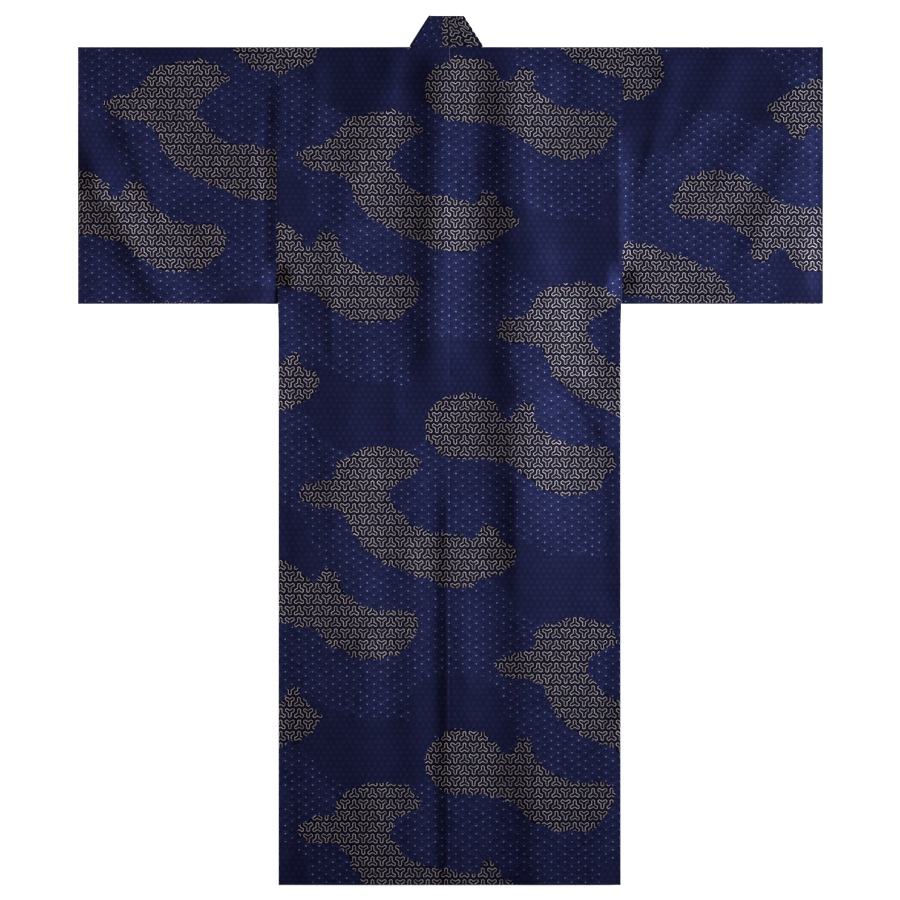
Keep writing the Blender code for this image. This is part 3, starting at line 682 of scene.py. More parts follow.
def add_body_half(side, cut, material):
    """One cloth: back hem, up the back, over the shoulder fold and down the front to its hem.

    On the back x runs from the side to the neck and on to the centre seam; the front ends at the
    collar and overlap seams. Heights come from the layers below.
    """
    t, lower_height = cut.cloth, LOWER_HEIGHT[side]
    side_shares = spread(BODY_SIDE_COLUMNS, SIDE_CROWD)
    neck_shares = spread(BODY_NECK_COLUMNS, NECK_CROWD)[1:]
    top_depth = LENGTH / BODY_ROWS / 3
    depth = blend(LENGTH, top_depth, spread(BODY_ROWS - 1, BACK_CROWD))[:, None]
    neck_x = neck_line(0.0) + side * (NECK_HALF_WIDTH + SEAM_GAP)
    centre = CENTRE_X + side * SEAM_GAP / 2
    outer_x = CENTRE_X + side * side_reach(depth)
    behind_neck = blend(neck_x, centre, neck_shares)
    x = np.hstack((blend(outer_x, neck_x, side_shares), behind_neck + 0 * depth))
    y = SHOULDER_Y - depth + 0 * x
    back = points(x, y, upper_height(x, y, cut) + t / 2)
    shoulder = np.full(x.shape[1], SHOULDER_Y)
    top_x = blend(CENTRE_X + side * ARMHOLE_WIDTH, neck_x, side_shares)
    top_x = np.hstack((top_x, behind_neck))
    upper = upper_height(top_x, shoulder, cut) + t / 2
    lower = lower_height(top_x, shoulder) + t / 2
    turn, turn_out = half_turn(top_x, upper, lower, SHOULDER_Y, 1, t)
    beyond = np.arange(len(top_x)) > BODY_SIDE_COLUMNS
    turn[0, beyond, 1] = SHOULDER_Y - SEAM_GAP
    depth = blend(FRONT_TOP_DEPTH, LENGTH, spread(FRONT_ROWS, FRONT_CROWD))[:, None]
    outer_x = CENTRE_X + side * side_reach(depth)
    inner_x = neck_line(depth) - side * front_panel_reach(depth)
    x = blend(outer_x, inner_x, side_shares)
    x = np.hstack((x, np.repeat(x[:, -1:], BODY_NECK_COLUMNS, axis=1)))
    y = SHOULDER_Y - depth + 0 * x
    front = points(x, y, lower_height(x, y) + t / 2)
    middle = np.concatenate((back, turn, front))
    outward = np.concatenate((facing(0, 0, 1, back), turn_out, facing(0, 0, -1, front)))
    last = np.full(len(middle), BODY_SIDE_COLUMNS)
    last[: len(back) + 1] = len(top_x) - 1
    run = down_the_cloth(middle, len(back)) + SHOULDER_Y - LENGTH
    edge = np.minimum(np.abs(run - SHOULDER_Y + LENGTH), np.abs(run.max() - run))
    on_print = print_place(middle[..., 0], run, BODY_PRINT)
    word = SIDE_WORDS[side]
    piece = add_shell(
        f"body_{word}_cloth", middle, outward, t, on_print, edge, last=last, flip=side > 0
    )
    finish_piece(piece, f"body_{word}", material)


def add_sleeve(side, cut, material):
    """A flattened tube: its back, the shoulder fold, its front and the fold at its bottom.

    x runs from the armhole to the cuff; each ring round the tube is one row loop.
    """
    t = cut.cloth
    shares = spread(SLEEVE_COLUMNS, SLEEVE_SPAN_CROWD)

    def place(depth, corner_gap):
        share = smooth((depth - ARMHOLE_DEPTH) / (SLEEVE_DEPTH - ARMHOLE_DEPTH))
        start = side_reach(depth) + SEAM_GAP + corner_gap * share
        x = blend(CENTRE_X + side * start, side * SPAN / 2, shares)
        return x, SHOULDER_Y - depth + 0 * x

    depth = SLEEVE_DEPTH * (1 - spread(SLEEVE_ROWS, SLEEVE_BACK_CROWD)[1:-1])[:, None]
    x, y = place(depth, SLEEVE_CORNER_GAP)
    back = points(x, y, upper_height(x, y, cut) + t / 2)
    x, y = place(0.0, SLEEVE_CORNER_GAP)
    top, top_out = half_turn(x, upper_height(x, y, cut) + t / 2, t / 2 + 0 * x, SHOULDER_Y, 1, t)
    depth = SLEEVE_DEPTH * spread(SLEEVE_FRONT_ROWS, SLEEVE_FRONT_CROWD)[1:-1, None]
    x, y = place(depth, -SLEEVE_UNDER_REACH)
    front = points(x, y, t / 2)
    x, y = place(SLEEVE_DEPTH, SLEEVE_CORNER_GAP)
    bottom_y = SHOULDER_Y - SLEEVE_DEPTH
    upper = upper_height(x, y, cut) + t / 2
    bottom, bottom_out = half_turn(x, upper, t / 2 + 0 * x, bottom_y, -1, t)
    middle = np.concatenate((back, top, front, bottom[::-1]))
    outward = np.concatenate(
        (facing(0, 0, 1, back), top_out, facing(0, 0, -1, front), bottom_out[::-1])
    )
    run = down_the_cloth(np.concatenate((middle, middle[:1])), len(back))
    run = run + back[0, 0, 1]
    from_cuff = SPAN / 2 - np.abs(middle[..., 0])
    edge = np.concatenate((from_cuff, from_cuff[:1]))
    x = np.concatenate((middle[..., 0], middle[:1, :, 0]))
    on_print = print_place(x, run, SLEEVE_PRINT[side])
    word = SIDE_WORDS[side]
    piece = add_shell(
        f"sleeve_{word}_cloth", middle, outward, t, on_print, edge, ring=True, flip=side < 0
    )
    finish_piece(piece, f"sleeve_{word}", material)


def add_okumi(side, cut, material):
    """The overlap panel of one front: x runs from its seam to the collar seam or front edge."""
    t = cut.cloth
    depth = blend(OKUMI_POINT_DEPTH, LENGTH, spread(OKUMI_ROWS, FRONT_CROWD))
    # Two rows just past the collar's end step out from its seam to the front edge
    last_beside, first_past = COLLAR_END_DEPTH + SEAM_GAP, COLLAR_END_DEPTH + 2 * SEAM_GAP
    beside = depth[depth <= COLLAR_END_DEPTH]
    past = depth[depth > COLLAR_END_DEPTH + FREE_EDGE_GAP]
    depth = np.concatenate((beside, (last_beside, first_past), past))[:, None]
    beside_band = depth < (last_beside + first_past) / 2
    end = np.where(beside_band, read_curve(COLLAR_SEAM, depth) - SEAM_GAP, FRONT_EDGE_OFFSET)
    reach = blend(okumi_seam_reach(depth), end, np.linspace(0, 1, OKUMI_COLUMNS + 1))
    x = neck_line(depth) - side * reach
    y = SHOULDER_Y - depth + 0 * x
    middle = points(x, y, LOWER_HEIGHT[side](x, y) + t / 2)
    edge = np.minimum(LENGTH - depth + 0 * x, FRONT_EDGE_OFFSET - reach)
    on_print = print_place(x, depth + 0 * x, OKUMI_PRINT[side])
    word = SIDE_WORDS[side]
    piece = add_shell(
        f"okumi_{word}_cloth", middle, facing(0, 0, -1, middle), t, on_print, edge, flip=side > 0
    )
    finish_piece(piece, f"okumi_{word}", material)


def band_rows(seam, edge, height, direction, thickness, shares):
    """Straight across the band from its seam to its free edge."""
    x = blend(seam[0], edge[0], shares)
    y = blend(seam[1], edge[1], shares)
    middle = points(x, y, height(x, y) + thickness / 2)
    return middle, facing(0, 0, direction, middle)


def neck_height(cut):
    """Underside of the band behind the neck, its top level with the back's."""
    height = UPPER_AT_COLLAR + cut.cloth - cut.collar_cloth

    def at(x, y):
        return height + 0.0 * x

    return at


def collar_front(side, cut, shares):
    """One front stretch of the band, from the fold beside the neck down to its end."""
    shares_down = spread(COLLAR_FRONT_ROWS, BAND_FRONT_CROWD)
    depth = np.concatenate(([0.0], blend(FRONT_TOP_DEPTH, COLLAR_END_DEPTH, shares_down)))[:, None]
    edge_depth = blend(SHOULDER_Y - COLLAR_TOP_Y, COLLAR_END_DEPTH, depth / COLLAR_END_DEPTH)
    seam_depth = np.where(depth > 0, depth, -SEAM_GAP)
    seam_x = neck_line(depth) - side * read_curve(COLLAR_SEAM, depth)
    edge_x = neck_line(edge_depth) - side * read_curve(COLLAR_EDGE, edge_depth)
    seam, edge = (seam_x, SHOULDER_Y - seam_depth), (edge_x, SHOULDER_Y - edge_depth)
    return band_rows(seam, edge, LOWER_HEIGHT[side], -1, cut.collar_cloth, shares)


def collar_fold(side, cut, shares):
    """The band's turn beside the neck: a half circle from the front stretch up to the back one."""
    seam = (neck_line(0.0) + side * NECK_HALF_WIDTH, SHOULDER_Y + SEAM_GAP)
    edge = (neck_line(0.0) + side * COLLAR_TOP_HALF_WIDTH, COLLAR_TOP_Y)
    length = math.hypot(edge[0] - seam[0], edge[1] - seam[1])
    out_x, out_y = side * (edge[1] - seam[1]) / length, abs(edge[0] - seam[0]) / length
    turn = (math.pi * np.arange(1, FOLD_STEPS) / FOLD_STEPS)[:, None]
    x = blend(seam[0], edge[0], shares)
    y = blend(seam[1], edge[1], shares)
    lower = LOWER_HEIGHT[side](x, y) + cut.collar_cloth / 2
    upper = neck_height(cut)(x, y) + cut.collar_cloth / 2
    radius = (upper - lower) / 2
    out, up = np.sin(turn), -np.cos(turn)
    middle = points(x + radius * out * out_x, y + radius * out * out_y, lower + radius * (1 + up))
    return middle, points(out * out_x + 0 * x, out * out_y + 0 * x, up + 0 * x)


def add_collar(cut, material):
    """One band of double cloth, from the end on the left front, round the neck, to the right."""
    shares = spread(COLLAR_COLUMNS, BAND_CROWD)
    across = np.linspace(-1, 1, COLLAR_BACK_ROWS + 1)[:, None]
    seam = (neck_line(0.0) + across * NECK_HALF_WIDTH, SHOULDER_Y + SEAM_GAP)
    edge = (neck_line(0.0) + across * COLLAR_TOP_HALF_WIDTH, COLLAR_TOP_Y)
    nape = band_rows(seam, edge, neck_height(cut), 1, cut.collar_cloth, shares)
    parts = (
        tuple(grid[::-1] for grid in collar_front(-1, cut, shares)),
        collar_fold(-1, cut, shares),
        nape,
        tuple(grid[::-1] for grid in collar_fold(1, cut, shares)),
        collar_front(1, cut, shares),
    )
    middle = np.concatenate([part[0] for part in parts])
    outward = np.concatenate([part[1] for part in parts])
    centre = middle.mean(axis=1)
    run = np.concatenate(([0.0], np.cumsum(np.linalg.norm(np.diff(centre, axis=0), axis=1))))
    nape_start = len(parts[0][0]) + len(parts[1][0])
    run = run - run[nape_start + COLLAR_BACK_ROWS // 2] + neck_line(0.0)
    width = np.linalg.norm(middle[:, -1] - middle[:, 0], axis=1)[:, None] * shares
    on_print = print_place(width, run[:, None], COLLAR_PRINT)
    from_free_edge = width.max() - width
    from_seam = width + BAND_SEAM_COVER
    roundness = np.sqrt(np.clip(1 - (2 * shares - 1) ** BAND_SQUARENESS, BAND_THINNEST**2, 1))
    piece = add_shell(
        "collar_cloth",
        middle,
        outward,
        cut.collar_cloth * roundness,
        on_print,
        np.minimum(from_free_edge, from_seam),
        flip=True,
    )
    finish_piece(piece, "collar", material)


# Shader building


def add_node(tree, kind, settings=None, inputs=None):
    """Makes a node: its settings first, then the value or link of each named socket."""
    made = tree.nodes.new(kind)
    for name, value in (settings or {}).items():
        setattr(made, name, value)
    for name, value in (inputs or {}).items():
        socket = made.inputs[name]
        if isinstance(value, Signal):
            tree.links.new(value.socket, socket)
        elif isinstance(value, bpy.types.NodeSocket):
            tree.links.new(value, socket)
        else:
            socket.default_value = value
    return made


class Signal:
    """A number that varies over the cloth. Arithmetic on it adds Math nodes."""

    def __init__(self, tree, socket):
        self.tree = tree
        self.socket = socket

    def join(self, operation, *values):
        inputs = dict(enumerate(values))
        made = add_node(self.tree, "ShaderNodeMath", {"operation": operation}, inputs)
        return Signal(self.tree, made.outputs[0])

    def __add__(self, other):
        return self.join("ADD", self, other)

    def __radd__(self, other):
        return self.join("ADD", other, self)

    def __sub__(self, other):
        return self.join("SUBTRACT", self, other)

    def __rsub__(self, other):
        return self.join("SUBTRACT", other, self)

    def __mul__(self, other):
        return self.join("MULTIPLY", self, other)

    def __truediv__(self, other):
        return self.join("DIVIDE", self, other)

    def __gt__(self, other):
        return self.join("GREATER_THAN", self, other)

    def __lt__(self, other):
        return self.join("LESS_THAN", self, other)

    def __abs__(self):
        return self.join("ABSOLUTE", self)

    def wrap(self, low, high):
        return self.join("WRAP", self, high, low)

    def floor(self):
        return self.join("FLOOR", self)

    def fraction(self):
        return self.join("FRACT", self)

    def root(self):
        return self.join("SQRT", self)

    def sine(self):
        return self.join("SINE", self)

    def highest(self, other):
        return self.join("MAXIMUM", self, other)

    def lowest(self, other):
        return self.join("MINIMUM", self, other)

    def ramp(self, low, high):
        """0 below low, 1 above high and smooth between."""
        settings = {"interpolation_type": "SMOOTHSTEP"}
        inputs = {"Value": self, "From Min": low, "From Max": high}
        made = add_node(self.tree, "ShaderNodeMapRange", settings, inputs)
        return Signal(self.tree, made.outputs[0])

    def band(self, centre, half, soft):
        """1 within half of the centre, 0 beyond, with a soft edge."""
        return 1 - abs(self - centre).ramp(half - soft, half + soft)

    def pick(self, off, on):
        """off where this is 0, on where it is 1."""
        return off + self * (on - off)


def tile_depth(u, v):
    """Depth inside the three-lobed tiles that cover the plane: 0 on their rims.

    A tile is three hexagons round a point. Upright and inverted tiles take turns along a row, and
    the nearer of each tile's two lobes is measured: its half width, less the distance to its
    middle line or, past its middle, to its rounded-off end.
    """
    side = TILE_ROW / 3
    half = COS_30 * side
    period = 6 * half
    x = abs((u * (period / TILE_PERIOD)).wrap(-period / 2, period / 2))
    depths = []
    for across, up in ((x, v - side / 2), (period / 2 - x, side - v)):
        up = up.wrap(-1.5 * side, 1.5 * side)
        out = across * COS_30 - up * 0.5
        beside = across * 0.5 + up * COS_30
        upper = up > out
        beside = abs(upper.pick(beside, across))
        end = (up.highest(out) - side) * COS_30 + beside * 0.5
        depths.append(half - beside.highest(end))
        end = (up + 2 * side) * COS_30 + across * 0.5
        depths.append(half - across.highest(end))
    first, second, third, fourth = depths
    return first.highest(second).highest(third.highest(fourth))


def scale_reach(u, v):
    """Distance to the centre of the fan scale that lies on top, over the scale's radius.

    Rows of circles hang below one another, every other row shifted by a radius, and the upper
    rows lie over the lower ones.
    """
    row = v / SCALE_ROW
    share = row.fraction()
    odd = row.floor().wrap(0, 2)
    across = abs((u / SCALE_RADIUS + odd).wrap(-1, 1))
    other = 1 - across
    rise = SCALE_ROW / SCALE_RADIUS
    above = (2 - share) * rise
    near = (1 - share) * rise
    below = share * rise
    top = (other * other + above * above).root()
    middle = (across * across + near * near).root()
    bottom = (other * other + below * below).root()
    return (top < 1).pick((middle < 1).pick(bottom, middle), top)


def star_lines(u, v):
    """Lines of the hemp leaf stars: sides of a net of triangles and their centre lines.

    Three heights, one to each side, add up to 1 inside a triangle. A side is where the lowest is
    0, and a centre line is where the lowest two are equal.
    """
    height = STAR_SIDE * COS_30
    heights = []
    for turn in (90, 210, 330):
        angle = math.radians(turn)
        along = u * (math.cos(angle) / height) + v * (math.sin(angle) / height)
        heights.append(along.fraction())
    a, b, c = heights
    inverted = (a + b + c) > 1.5
    a, b, c = (inverted.pick(h, 1 - h) for h in heights)
    lowest = a.lowest(b).lowest(c)
    highest = a.highest(b).highest(c)
    sides = 1 - lowest.ramp(*STAR_LINE)
    centre_lines = 1 - (1 - highest - lowest * 2).ramp(*STAR_CENTRE_LINE)
    return sides.highest(centre_lines)


def mix_colours(tree, factor, first, second, mode="MIX"):
    """Mixes two colours: 6, 7 and 2 are the sockets that carry colours once the type is RGBA."""
    settings = {"data_type": "RGBA", "blend_type": mode}
    made = add_node(tree, "ShaderNodeMix", settings, {0: factor, 6: first, 7: second})
    return made.outputs[2]


def noise(tree, place, scale, detail, stretch=(1.0, 1.0, 1.0)):
    """Noise over the print's plane, drawn out along one direction by the stretch."""
    spot = add_node(tree, "ShaderNodeMapping", {}, {"Vector": place, "Scale": stretch})
    inputs = {
        "Vector": spot.outputs[0],
        "Scale": scale,
        "Detail": detail,
        "Roughness": NOISE_ROUGHNESS,
    }
    return add_node(tree, "ShaderNodeTexNoise", {"noise_dimensions": "2D"}, inputs)


def grey_noise(tree, place, kind, stretch=(1.0, 1.0, 1.0)):
    return Signal(tree, noise(tree, place, *kind, stretch).outputs[0])


def attribute(tree, name):
    made = add_node(tree, "ShaderNodeAttribute", {"attribute_name": name})
    return Signal(tree, made.outputs["Fac"])


def opaque(colour):
    return (*colour, 1.0)


def vector_maths(tree, operation, *values):
    made = add_node(tree, "ShaderNodeVectorMath", {"operation": operation}, dict(enumerate(values)))
    return made.outputs[0]


def coordinates(tree, place):
    spot = add_node(tree, "ShaderNodeSeparateXYZ", {}, {0: place})
    return Signal(tree, spot.outputs[0]), Signal(tree, spot.outputs[1])


def strayed(tree, place):
    """The place on the print, moved by WANDER * (noise - 1/2) so that no line runs quite true."""
    drift = noise(tree, place, *WANDER_NOISE).outputs["Color"]
    drift = vector_maths(tree, "SUBTRACT", drift, (0.5, 0.5, 0.5))
    return vector_maths(tree, "MULTIPLY_ADD", drift, (WANDER, WANDER, 0.0), place)


def fan_scales(tree, scale, ink, dye):
    """One wide arc round each scale and thin ones inside it, where a sine of the reach is high."""
    waves = ((scale - THIN_ARC_START) * (math.tau / THIN_ARC_STEP)).sine() * 0.5 + 0.5
    thin_arcs = waves.ramp(*THIN_ARC_EDGE) * scale.band(*THIN_ARCS) * THIN_ARC_SHARE
    arcs = (scale.band(*WIDE_ARC) * WIDE_ARC_SHARE + thin_arcs) * ink.pick(*ARC_INK)
    return mix_colours(tree, arcs, opaque(dye.ground), opaque(dye.arc))


def lobed_tiles(tree, depth, ink, dye):
    """Each tile in from its rim: the net between the tiles, the ground, the outline, the heart."""
    ground, lattice = opaque(dye.cloud_ground), opaque(dye.lattice)
    colour = mix_colours(tree, 1 - depth.ramp(*TILE_NET), ground, lattice)
    colour = mix_colours(tree, depth.ramp(*TILE_HEART), colour, lattice)
    outline = depth.band(*TILE_OUTLINE) * ink.pick(*OUTLINE_INK)
    return mix_colours(tree, outline, colour, opaque(dye.outline))


def cloth_print(tree, place, dye):
    """The whole print: fan scales, leaf stars over them in patches, dots, and clouds of tiles."""
    u, v = coordinates(tree, strayed(tree, place))
    ink = grey_noise(tree, place, INK_NOISE).ramp(*INK_EDGE)
    cloud, leaf = attribute(tree, "cloud"), attribute(tree, "leaf")
    scale = scale_reach(u, v)
    stars = star_lines(u, v) * STAR_INK
    leaves = mix_colours(tree, stars, opaque(dye.leaf_ground), opaque(dye.leaf_line))
    colour = mix_colours(tree, leaf.ramp(*LEAF_EDGE), fan_scales(tree, scale, ink, dye), leaves)
    dots = (1 - scale.ramp(*SCALE_DOT)) * ink.pick(*DOT_INK) * (leaf < 0)
    colour = mix_colours(tree, dots, colour, opaque(dye.dot))
    ragged = (grey_noise(tree, place, RAGGED_NOISE) - 0.5) * CLOUD_RAGGEDNESS
    tiles = lobed_tiles(tree, tile_depth(u, v), ink, dye)
    return mix_colours(tree, (cloud + ragged).ramp(*CLOUD_EDGE), colour, tiles)


def printed_cotton(name, dye, tone):
    """Plain-woven cotton, dyed navy and printed with clouds of three small repeats."""
    material = bpy.data.materials.new(name)
    material.use_nodes = True
    tree = material.node_tree
    shader = tree.nodes["Principled BSDF"]
    place = add_node(tree, "ShaderNodeUVMap", {"uv_map": "print_place"}).outputs[0]
    across, along = coordinates(tree, place)
    slub_warp = grey_noise(tree, place, SLUB_NOISE, (1.0, SLUB_STRETCH, 1.0))
    slub_weft = grey_noise(tree, place, SLUB_NOISE, (SLUB_STRETCH, 1.0, 1.0))
    edge = attribute(tree, "edge")

    colour = cloth_print(tree, place, dye)
    back_of_print = mix_colours(tree, REVERSE_SHARE, colour, opaque(dye.reverse))
    colour = mix_colours(tree, attribute(tree, "reverse"), colour, back_of_print)
    worn = (1 - edge.ramp(*WORN_EDGE)) * WORN_SHARE
    colour = mix_colours(tree, worn, colour, opaque(dye.worn))
    slubs = SLUB_GROUND + slub_warp * SLUB_WARP + slub_weft * SLUB_WEFT
    shade = grey_noise(tree, place, MOTTLE_NOISE).pick(*MOTTLE) * slubs * tone
    grey = add_node(tree, "ShaderNodeCombineColor", {}, {0: shade, 1: shade, 2: shade})
    colour = mix_colours(tree, 1.0, colour, grey.outputs[0], "MULTIPLY")

    turn = math.tau / THREAD_PITCH
    weave = (across * turn).sine() * (along * turn).sine() * WEAVE_DEPTH
    run = (across * (1 / STITCH_STEP)).fraction().band(*STITCH_LENGTH)
    stitch = edge.band(*STITCH_LINE) * run * STITCH_DEPTH
    crumple = grey_noise(tree, place, CRUMPLE_NOISE) * CRUMPLE_DEPTH
    relief = weave + (slub_warp + slub_weft) * SLUB_DEPTH + crumple - stitch
    inputs = {"Strength": 1.0, "Distance": 1.0, "Height": relief}
    bump = add_node(tree, "ShaderNodeBump", {}, inputs)
    tree.links.new(colour, shader.inputs["Base Color"])
    tree.links.new(slub_weft.pick(*ROUGHNESS).socket, shader.inputs["Roughness"])
    tree.links.new(bump.outputs[0], shader.inputs["Normal"])
    for socket, value in COTTON_FINISH.items():
        shader.inputs[socket].default_value = value
    return material


def plain_floor(colour, glow):
    """Matt seamless board, faintly lit from below as on a light table."""
    material = bpy.data.materials.new("pale_board")
    material.use_nodes = True
    tree = material.node_tree
    shader = tree.nodes["Principled BSDF"]
    spot = add_node(tree, "ShaderNodeTexCoord").outputs["Object"]
    scale, detail = FLOOR_NOISE
    inputs = {"Vector": spot, "Scale": scale, "Detail": detail}
    grain = add_node(tree, "ShaderNodeTexNoise", {}, inputs)
    dull = tuple(channel * FLOOR_DULLEST for channel in colour)
    tint = mix_colours(tree, grain.outputs[0], opaque(colour), opaque(dull))
    tree.links.new(tint, shader.inputs["Base Color"])
    for socket, value in (FLOOR_FINISH | {"Emission Strength": glow}).items():
        shader.inputs[socket].default_value = value
    return material


def add_floor(stage):
    """A disc in the plane z = 0: rings of points at radius r times (cos a, sin a), and a middle."""
    rings, spokes = FLOOR_RINGS, FLOOR_SPOKES
    radius = np.geomspace(FLOOR_FIRST_RADIUS, stage.floor_radius, rings)[:, None]
    angle = np.arange(spokes) * (math.tau / spokes)
    ring_points = points(radius * np.cos(angle), radius * np.sin(angle), 0.0).reshape(-1, 3)
    i, j = np.meshgrid(np.arange(rings - 1) * spokes, np.arange(spokes), indexing="ij")
    following = (j + 1) % spokes
    quads = np.stack((i + j, i + spokes + j, i + spokes + following, i + following), -1)
    centre = np.full(spokes, len(ring_points))
    fan = np.stack((centre, j[0], following[0]), -1)
    mesh = bpy.data.meshes.new("floor")
    vertices = np.vstack((ring_points, [(0.0, 0.0, 0.0)]))
    mesh.from_pydata(vertices.tolist(), [], quads.reshape(-1, 4).tolist() + fan.tolist())
    mesh.materials.append(plain_floor(stage.floor_colour, stage.floor_glow))
    floor = bpy.data.objects.new("floor", mesh)
    bpy.context.scene.collection.objects.link(floor)


def add_softbox(name, place, aim, size, spread_angle, power, colour):
    """A rectangular light behind a grid that narrows its beam to the spread angle."""
    light = bpy.data.lights.new(name, "AREA")
    light.shape = "RECTANGLE"
    light.size, light.size_y = size
    light.energy = power
    light.color = colour
    light.spread = math.radians(spread_angle)
    lamp = bpy.data.objects.new(name, light)
    lamp.location = place
    direction = np.subtract(aim, place)
    flat = math.hypot(direction[0], direction[1])
    lamp.rotation_euler = (
        math.atan2(flat, -direction[2]),
        0.0,
        math.atan2(direction[1], direction[0]) - math.pi / 2,
    )
    bpy.context.scene.collection.objects.link(lamp)


def add_camera(stage):
    """Straight above the middle of the robe, with a long lens."""
    camera = bpy.data.cameras.new("camera")
    camera.sensor_width = SENSOR_WIDTH
    camera.lens = SENSOR_WIDTH * stage.camera_height / stage.view_width
    camera.clip_end = CLIP_END
    holder = bpy.data.objects.new("camera", camera)
    holder.location = (stage.camera_x, 0.0, stage.camera_height)
    bpy.context.scene.collection.objects.link(holder)
    bpy.context.scene.camera = holder


def colour_property(name, description, default):
    return bpy.props.FloatVectorProperty(
        name=name, description=description, default=default, subtype="COLOR", min=0.0, max=1.0
    )


def length_property(name, description, default):
    return bpy.props.FloatProperty(
        name=name, description=description, default=default, unit="LENGTH"
    )


def factor_property(name, description, default):
    return bpy.props.FloatProperty(name=name, description=description, default=default, min=0.0)


def power_property(name, description, default):
    return bpy.props.FloatProperty(
        name=name, description=description, default=default, min=0.0, unit="POWER"
    )


class YukataCut(bpy.types.PropertyGroup):
    """Thicknesses of the cloth and the rise of its folds."""

    cloth: length_property("Cloth", "Thickness of one layer of cotton", 0.0007)
    collar_cloth: length_property("Collar", "Thickness of the doubled collar band", 0.0016)
    fold_rise: factor_property("Fold rise", "Height of the large folds, as a factor", 1.0)
    crease_rise: factor_property("Crease rise", "Height of the fine creases, as a factor", 1.0)


class YukataDye(bpy.types.PropertyGroup):
    """Colours of the cloth and its print."""

    ground: colour_property("Ground", "Navy under the fan scales", (0.0048, 0.0054, 0.0290))
    arc: colour_property("Arc", "Blue arcs of the fan scales", (0.0295, 0.0325, 0.1070))
    dot: colour_property("Dot", "Pale dots between the fan scales", (0.30, 0.33, 0.62))
    leaf_ground: colour_property("Leaf ground", "Navy under the stars", (0.0046, 0.0050, 0.0252))
    leaf_line: colour_property("Leaf line", "Fine lines of the stars", (0.0245, 0.0248, 0.0800))
    cloud_ground: colour_property("Cloud ground", "Near black of the clouds", (0.0047, 0.0022, 0.0055))
    lattice: colour_property("Lattice", "Blue net between the tiles", (0.0042, 0.0037, 0.0140))
    outline: colour_property("Outline", "Cream outlines of the tiles", (0.92, 0.78, 0.77))
    reverse: colour_property("Reverse", "Wrong side of the cloth", (0.0300, 0.0330, 0.0800))
    worn: colour_property("Worn", "Turned edges rubbed by wear", (0.0400, 0.0450, 0.1100))


class YukataStage(bpy.types.PropertyGroup):
    """The floor, the light and the camera."""

    floor_colour: colour_property("Floor", "Colour of the board", (0.90, 0.90, 0.90))
    floor_glow: factor_property("Floor glow", "Light from within the board", 0.92)
    floor_radius: length_property("Floor radius", "Radius of the board", 9.0)
    sky: factor_property("Sky", "Strength of the even light all round", 0.08)
    key_power: power_property("Key", "Power of the low side light", 60.0)
    key_colour: colour_property("Key colour", "Cool light from a window", (0.86, 0.95, 1.0))
    fill_power: power_property("Fill", "Power of the high fill light", 3.0)
    fill_colour: colour_property("Fill colour", "Warm light from a lamp", (1.0, 0.86, 0.70))
    camera_height: length_property("Camera height", "Camera above the floor", 12.0)
    camera_x: length_property("Camera x", "Middle of the view", -0.0009)
    view_width: length_property("View width", "Width of the view at the floor", 1.5573)


def cotton(word):
    """The printed cloth of one kind of panel, in its own tone of dye, made once."""
    name = f"navy_cotton_{word}"
    made = bpy.data.materials.get(name)
    return made or printed_cotton(name, bpy.context.scene.yukata_dye, TONES[word])


class YUKATA_OT_body(bpy.types.Operator):
    """Lay the two body halves, each one cloth over the shoulder"""

    bl_idname = "yukata.body"
    bl_label = "Body halves"

    def execute(self, context):
        for side in (-1, 1):
            add_body_half(side, context.scene.yukata_cut, cotton("body"))
        return {"FINISHED"}


class YUKATA_OT_sleeves(bpy.types.Operator):
    """Lay the two sleeves, each a flattened tube"""

    bl_idname = "yukata.sleeves"
    bl_label = "Sleeves"

    def execute(self, context):
        for side in (-1, 1):
            add_sleeve(side, context.scene.yukata_cut, cotton("sleeve"))
        return {"FINISHED"}


class YUKATA_OT_okumi(bpy.types.Operator):
    """Lay the two overlap panels under the back"""

    bl_idname = "yukata.okumi"
    bl_label = "Overlap panels"

    def execute(self, context):
        for side in (-1, 1):
            add_okumi(side, context.scene.yukata_cut, cotton("okumi"))
        return {"FINISHED"}


class YUKATA_OT_collar(bpy.types.Operator):
    """Lay the collar band round the neck and down both fronts"""

    bl_idname = "yukata.collar"
    bl_label = "Collar"

    def execute(self, context):
        add_collar(context.scene.yukata_cut, cotton("collar"))
        return {"FINISHED"}


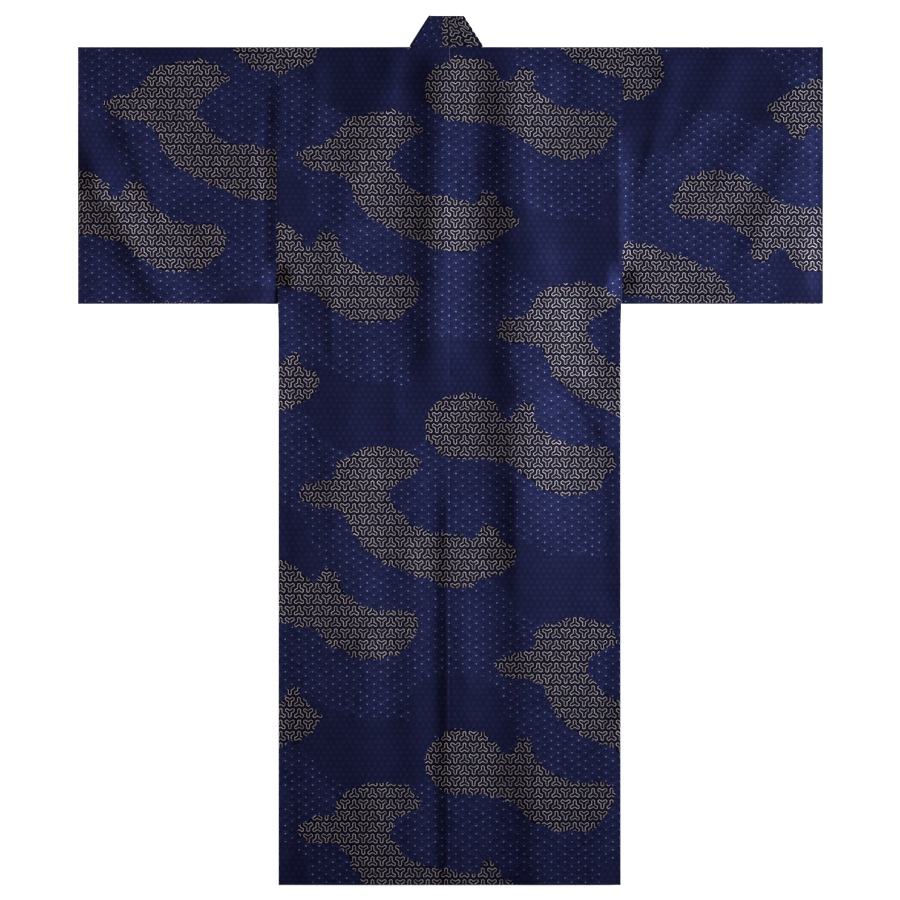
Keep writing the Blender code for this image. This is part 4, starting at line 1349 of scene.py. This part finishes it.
class YUKATA_OT_stage(bpy.types.Operator):
    """Set out the floor, the light and the camera"""

    bl_idname = "yukata.stage"
    bl_label = "Stage"

    def execute(self, context):
        scene = context.scene
        stage = scene.yukata_stage
        add_floor(stage)
        add_camera(stage)
        for word, box in SOFTBOXES.items():
            power, colour = getattr(stage, f"{word}_power"), getattr(stage, f"{word}_colour")
            add_softbox(f"{word}_light", *box, power, colour)
        world = bpy.data.worlds.new("studio")
        world.use_nodes = True
        sky = world.node_tree.nodes["Background"]
        sky.inputs["Color"].default_value = (1.0, 1.0, 1.0, 1.0)
        sky.inputs["Strength"].default_value = stage.sky
        scene.world = world
        scene.view_settings.view_transform = "Standard"
        return {"FINISHED"}


class YUKATA_PT_panel(bpy.types.Panel):
    """Lists the robe's panels and its stage"""

    bl_idname = "YUKATA_PT_panel"
    bl_label = "Yukata"
    bl_space_type = "VIEW_3D"
    bl_region_type = "UI"
    bl_category = "Yukata"

    def draw(self, context):
        for group_name in GROUPS:
            group = getattr(context.scene, group_name)
            column = self.layout.column(align=True)
            for name in group.__annotations__:
                column.prop(group, name)
        for operator in OPERATORS:
            self.layout.operator(operator.bl_idname)


GROUPS = {"yukata_cut": YukataCut, "yukata_dye": YukataDye, "yukata_stage": YukataStage}
OPERATORS = (
    YUKATA_OT_stage,
    YUKATA_OT_okumi,
    YUKATA_OT_body,
    YUKATA_OT_sleeves,
    YUKATA_OT_collar,
)


def register():
    for item in (*GROUPS.values(), *OPERATORS, YUKATA_PT_panel):
        bpy.utils.register_class(item)
    for name, group in GROUPS.items():
        setattr(bpy.types.Scene, name, bpy.props.PointerProperty(type=group))


def unregister():
    for name in GROUPS:
        delattr(bpy.types.Scene, name)
    for item in (YUKATA_PT_panel, *reversed(OPERATORS), *reversed(tuple(GROUPS.values()))):
        bpy.utils.unregister_class(item)


def main():
    register()
    for operator in OPERATORS:
        group, name = operator.bl_idname.split(".")
        getattr(getattr(bpy.ops, group), name)()


if __name__ == "__main__":
    main()
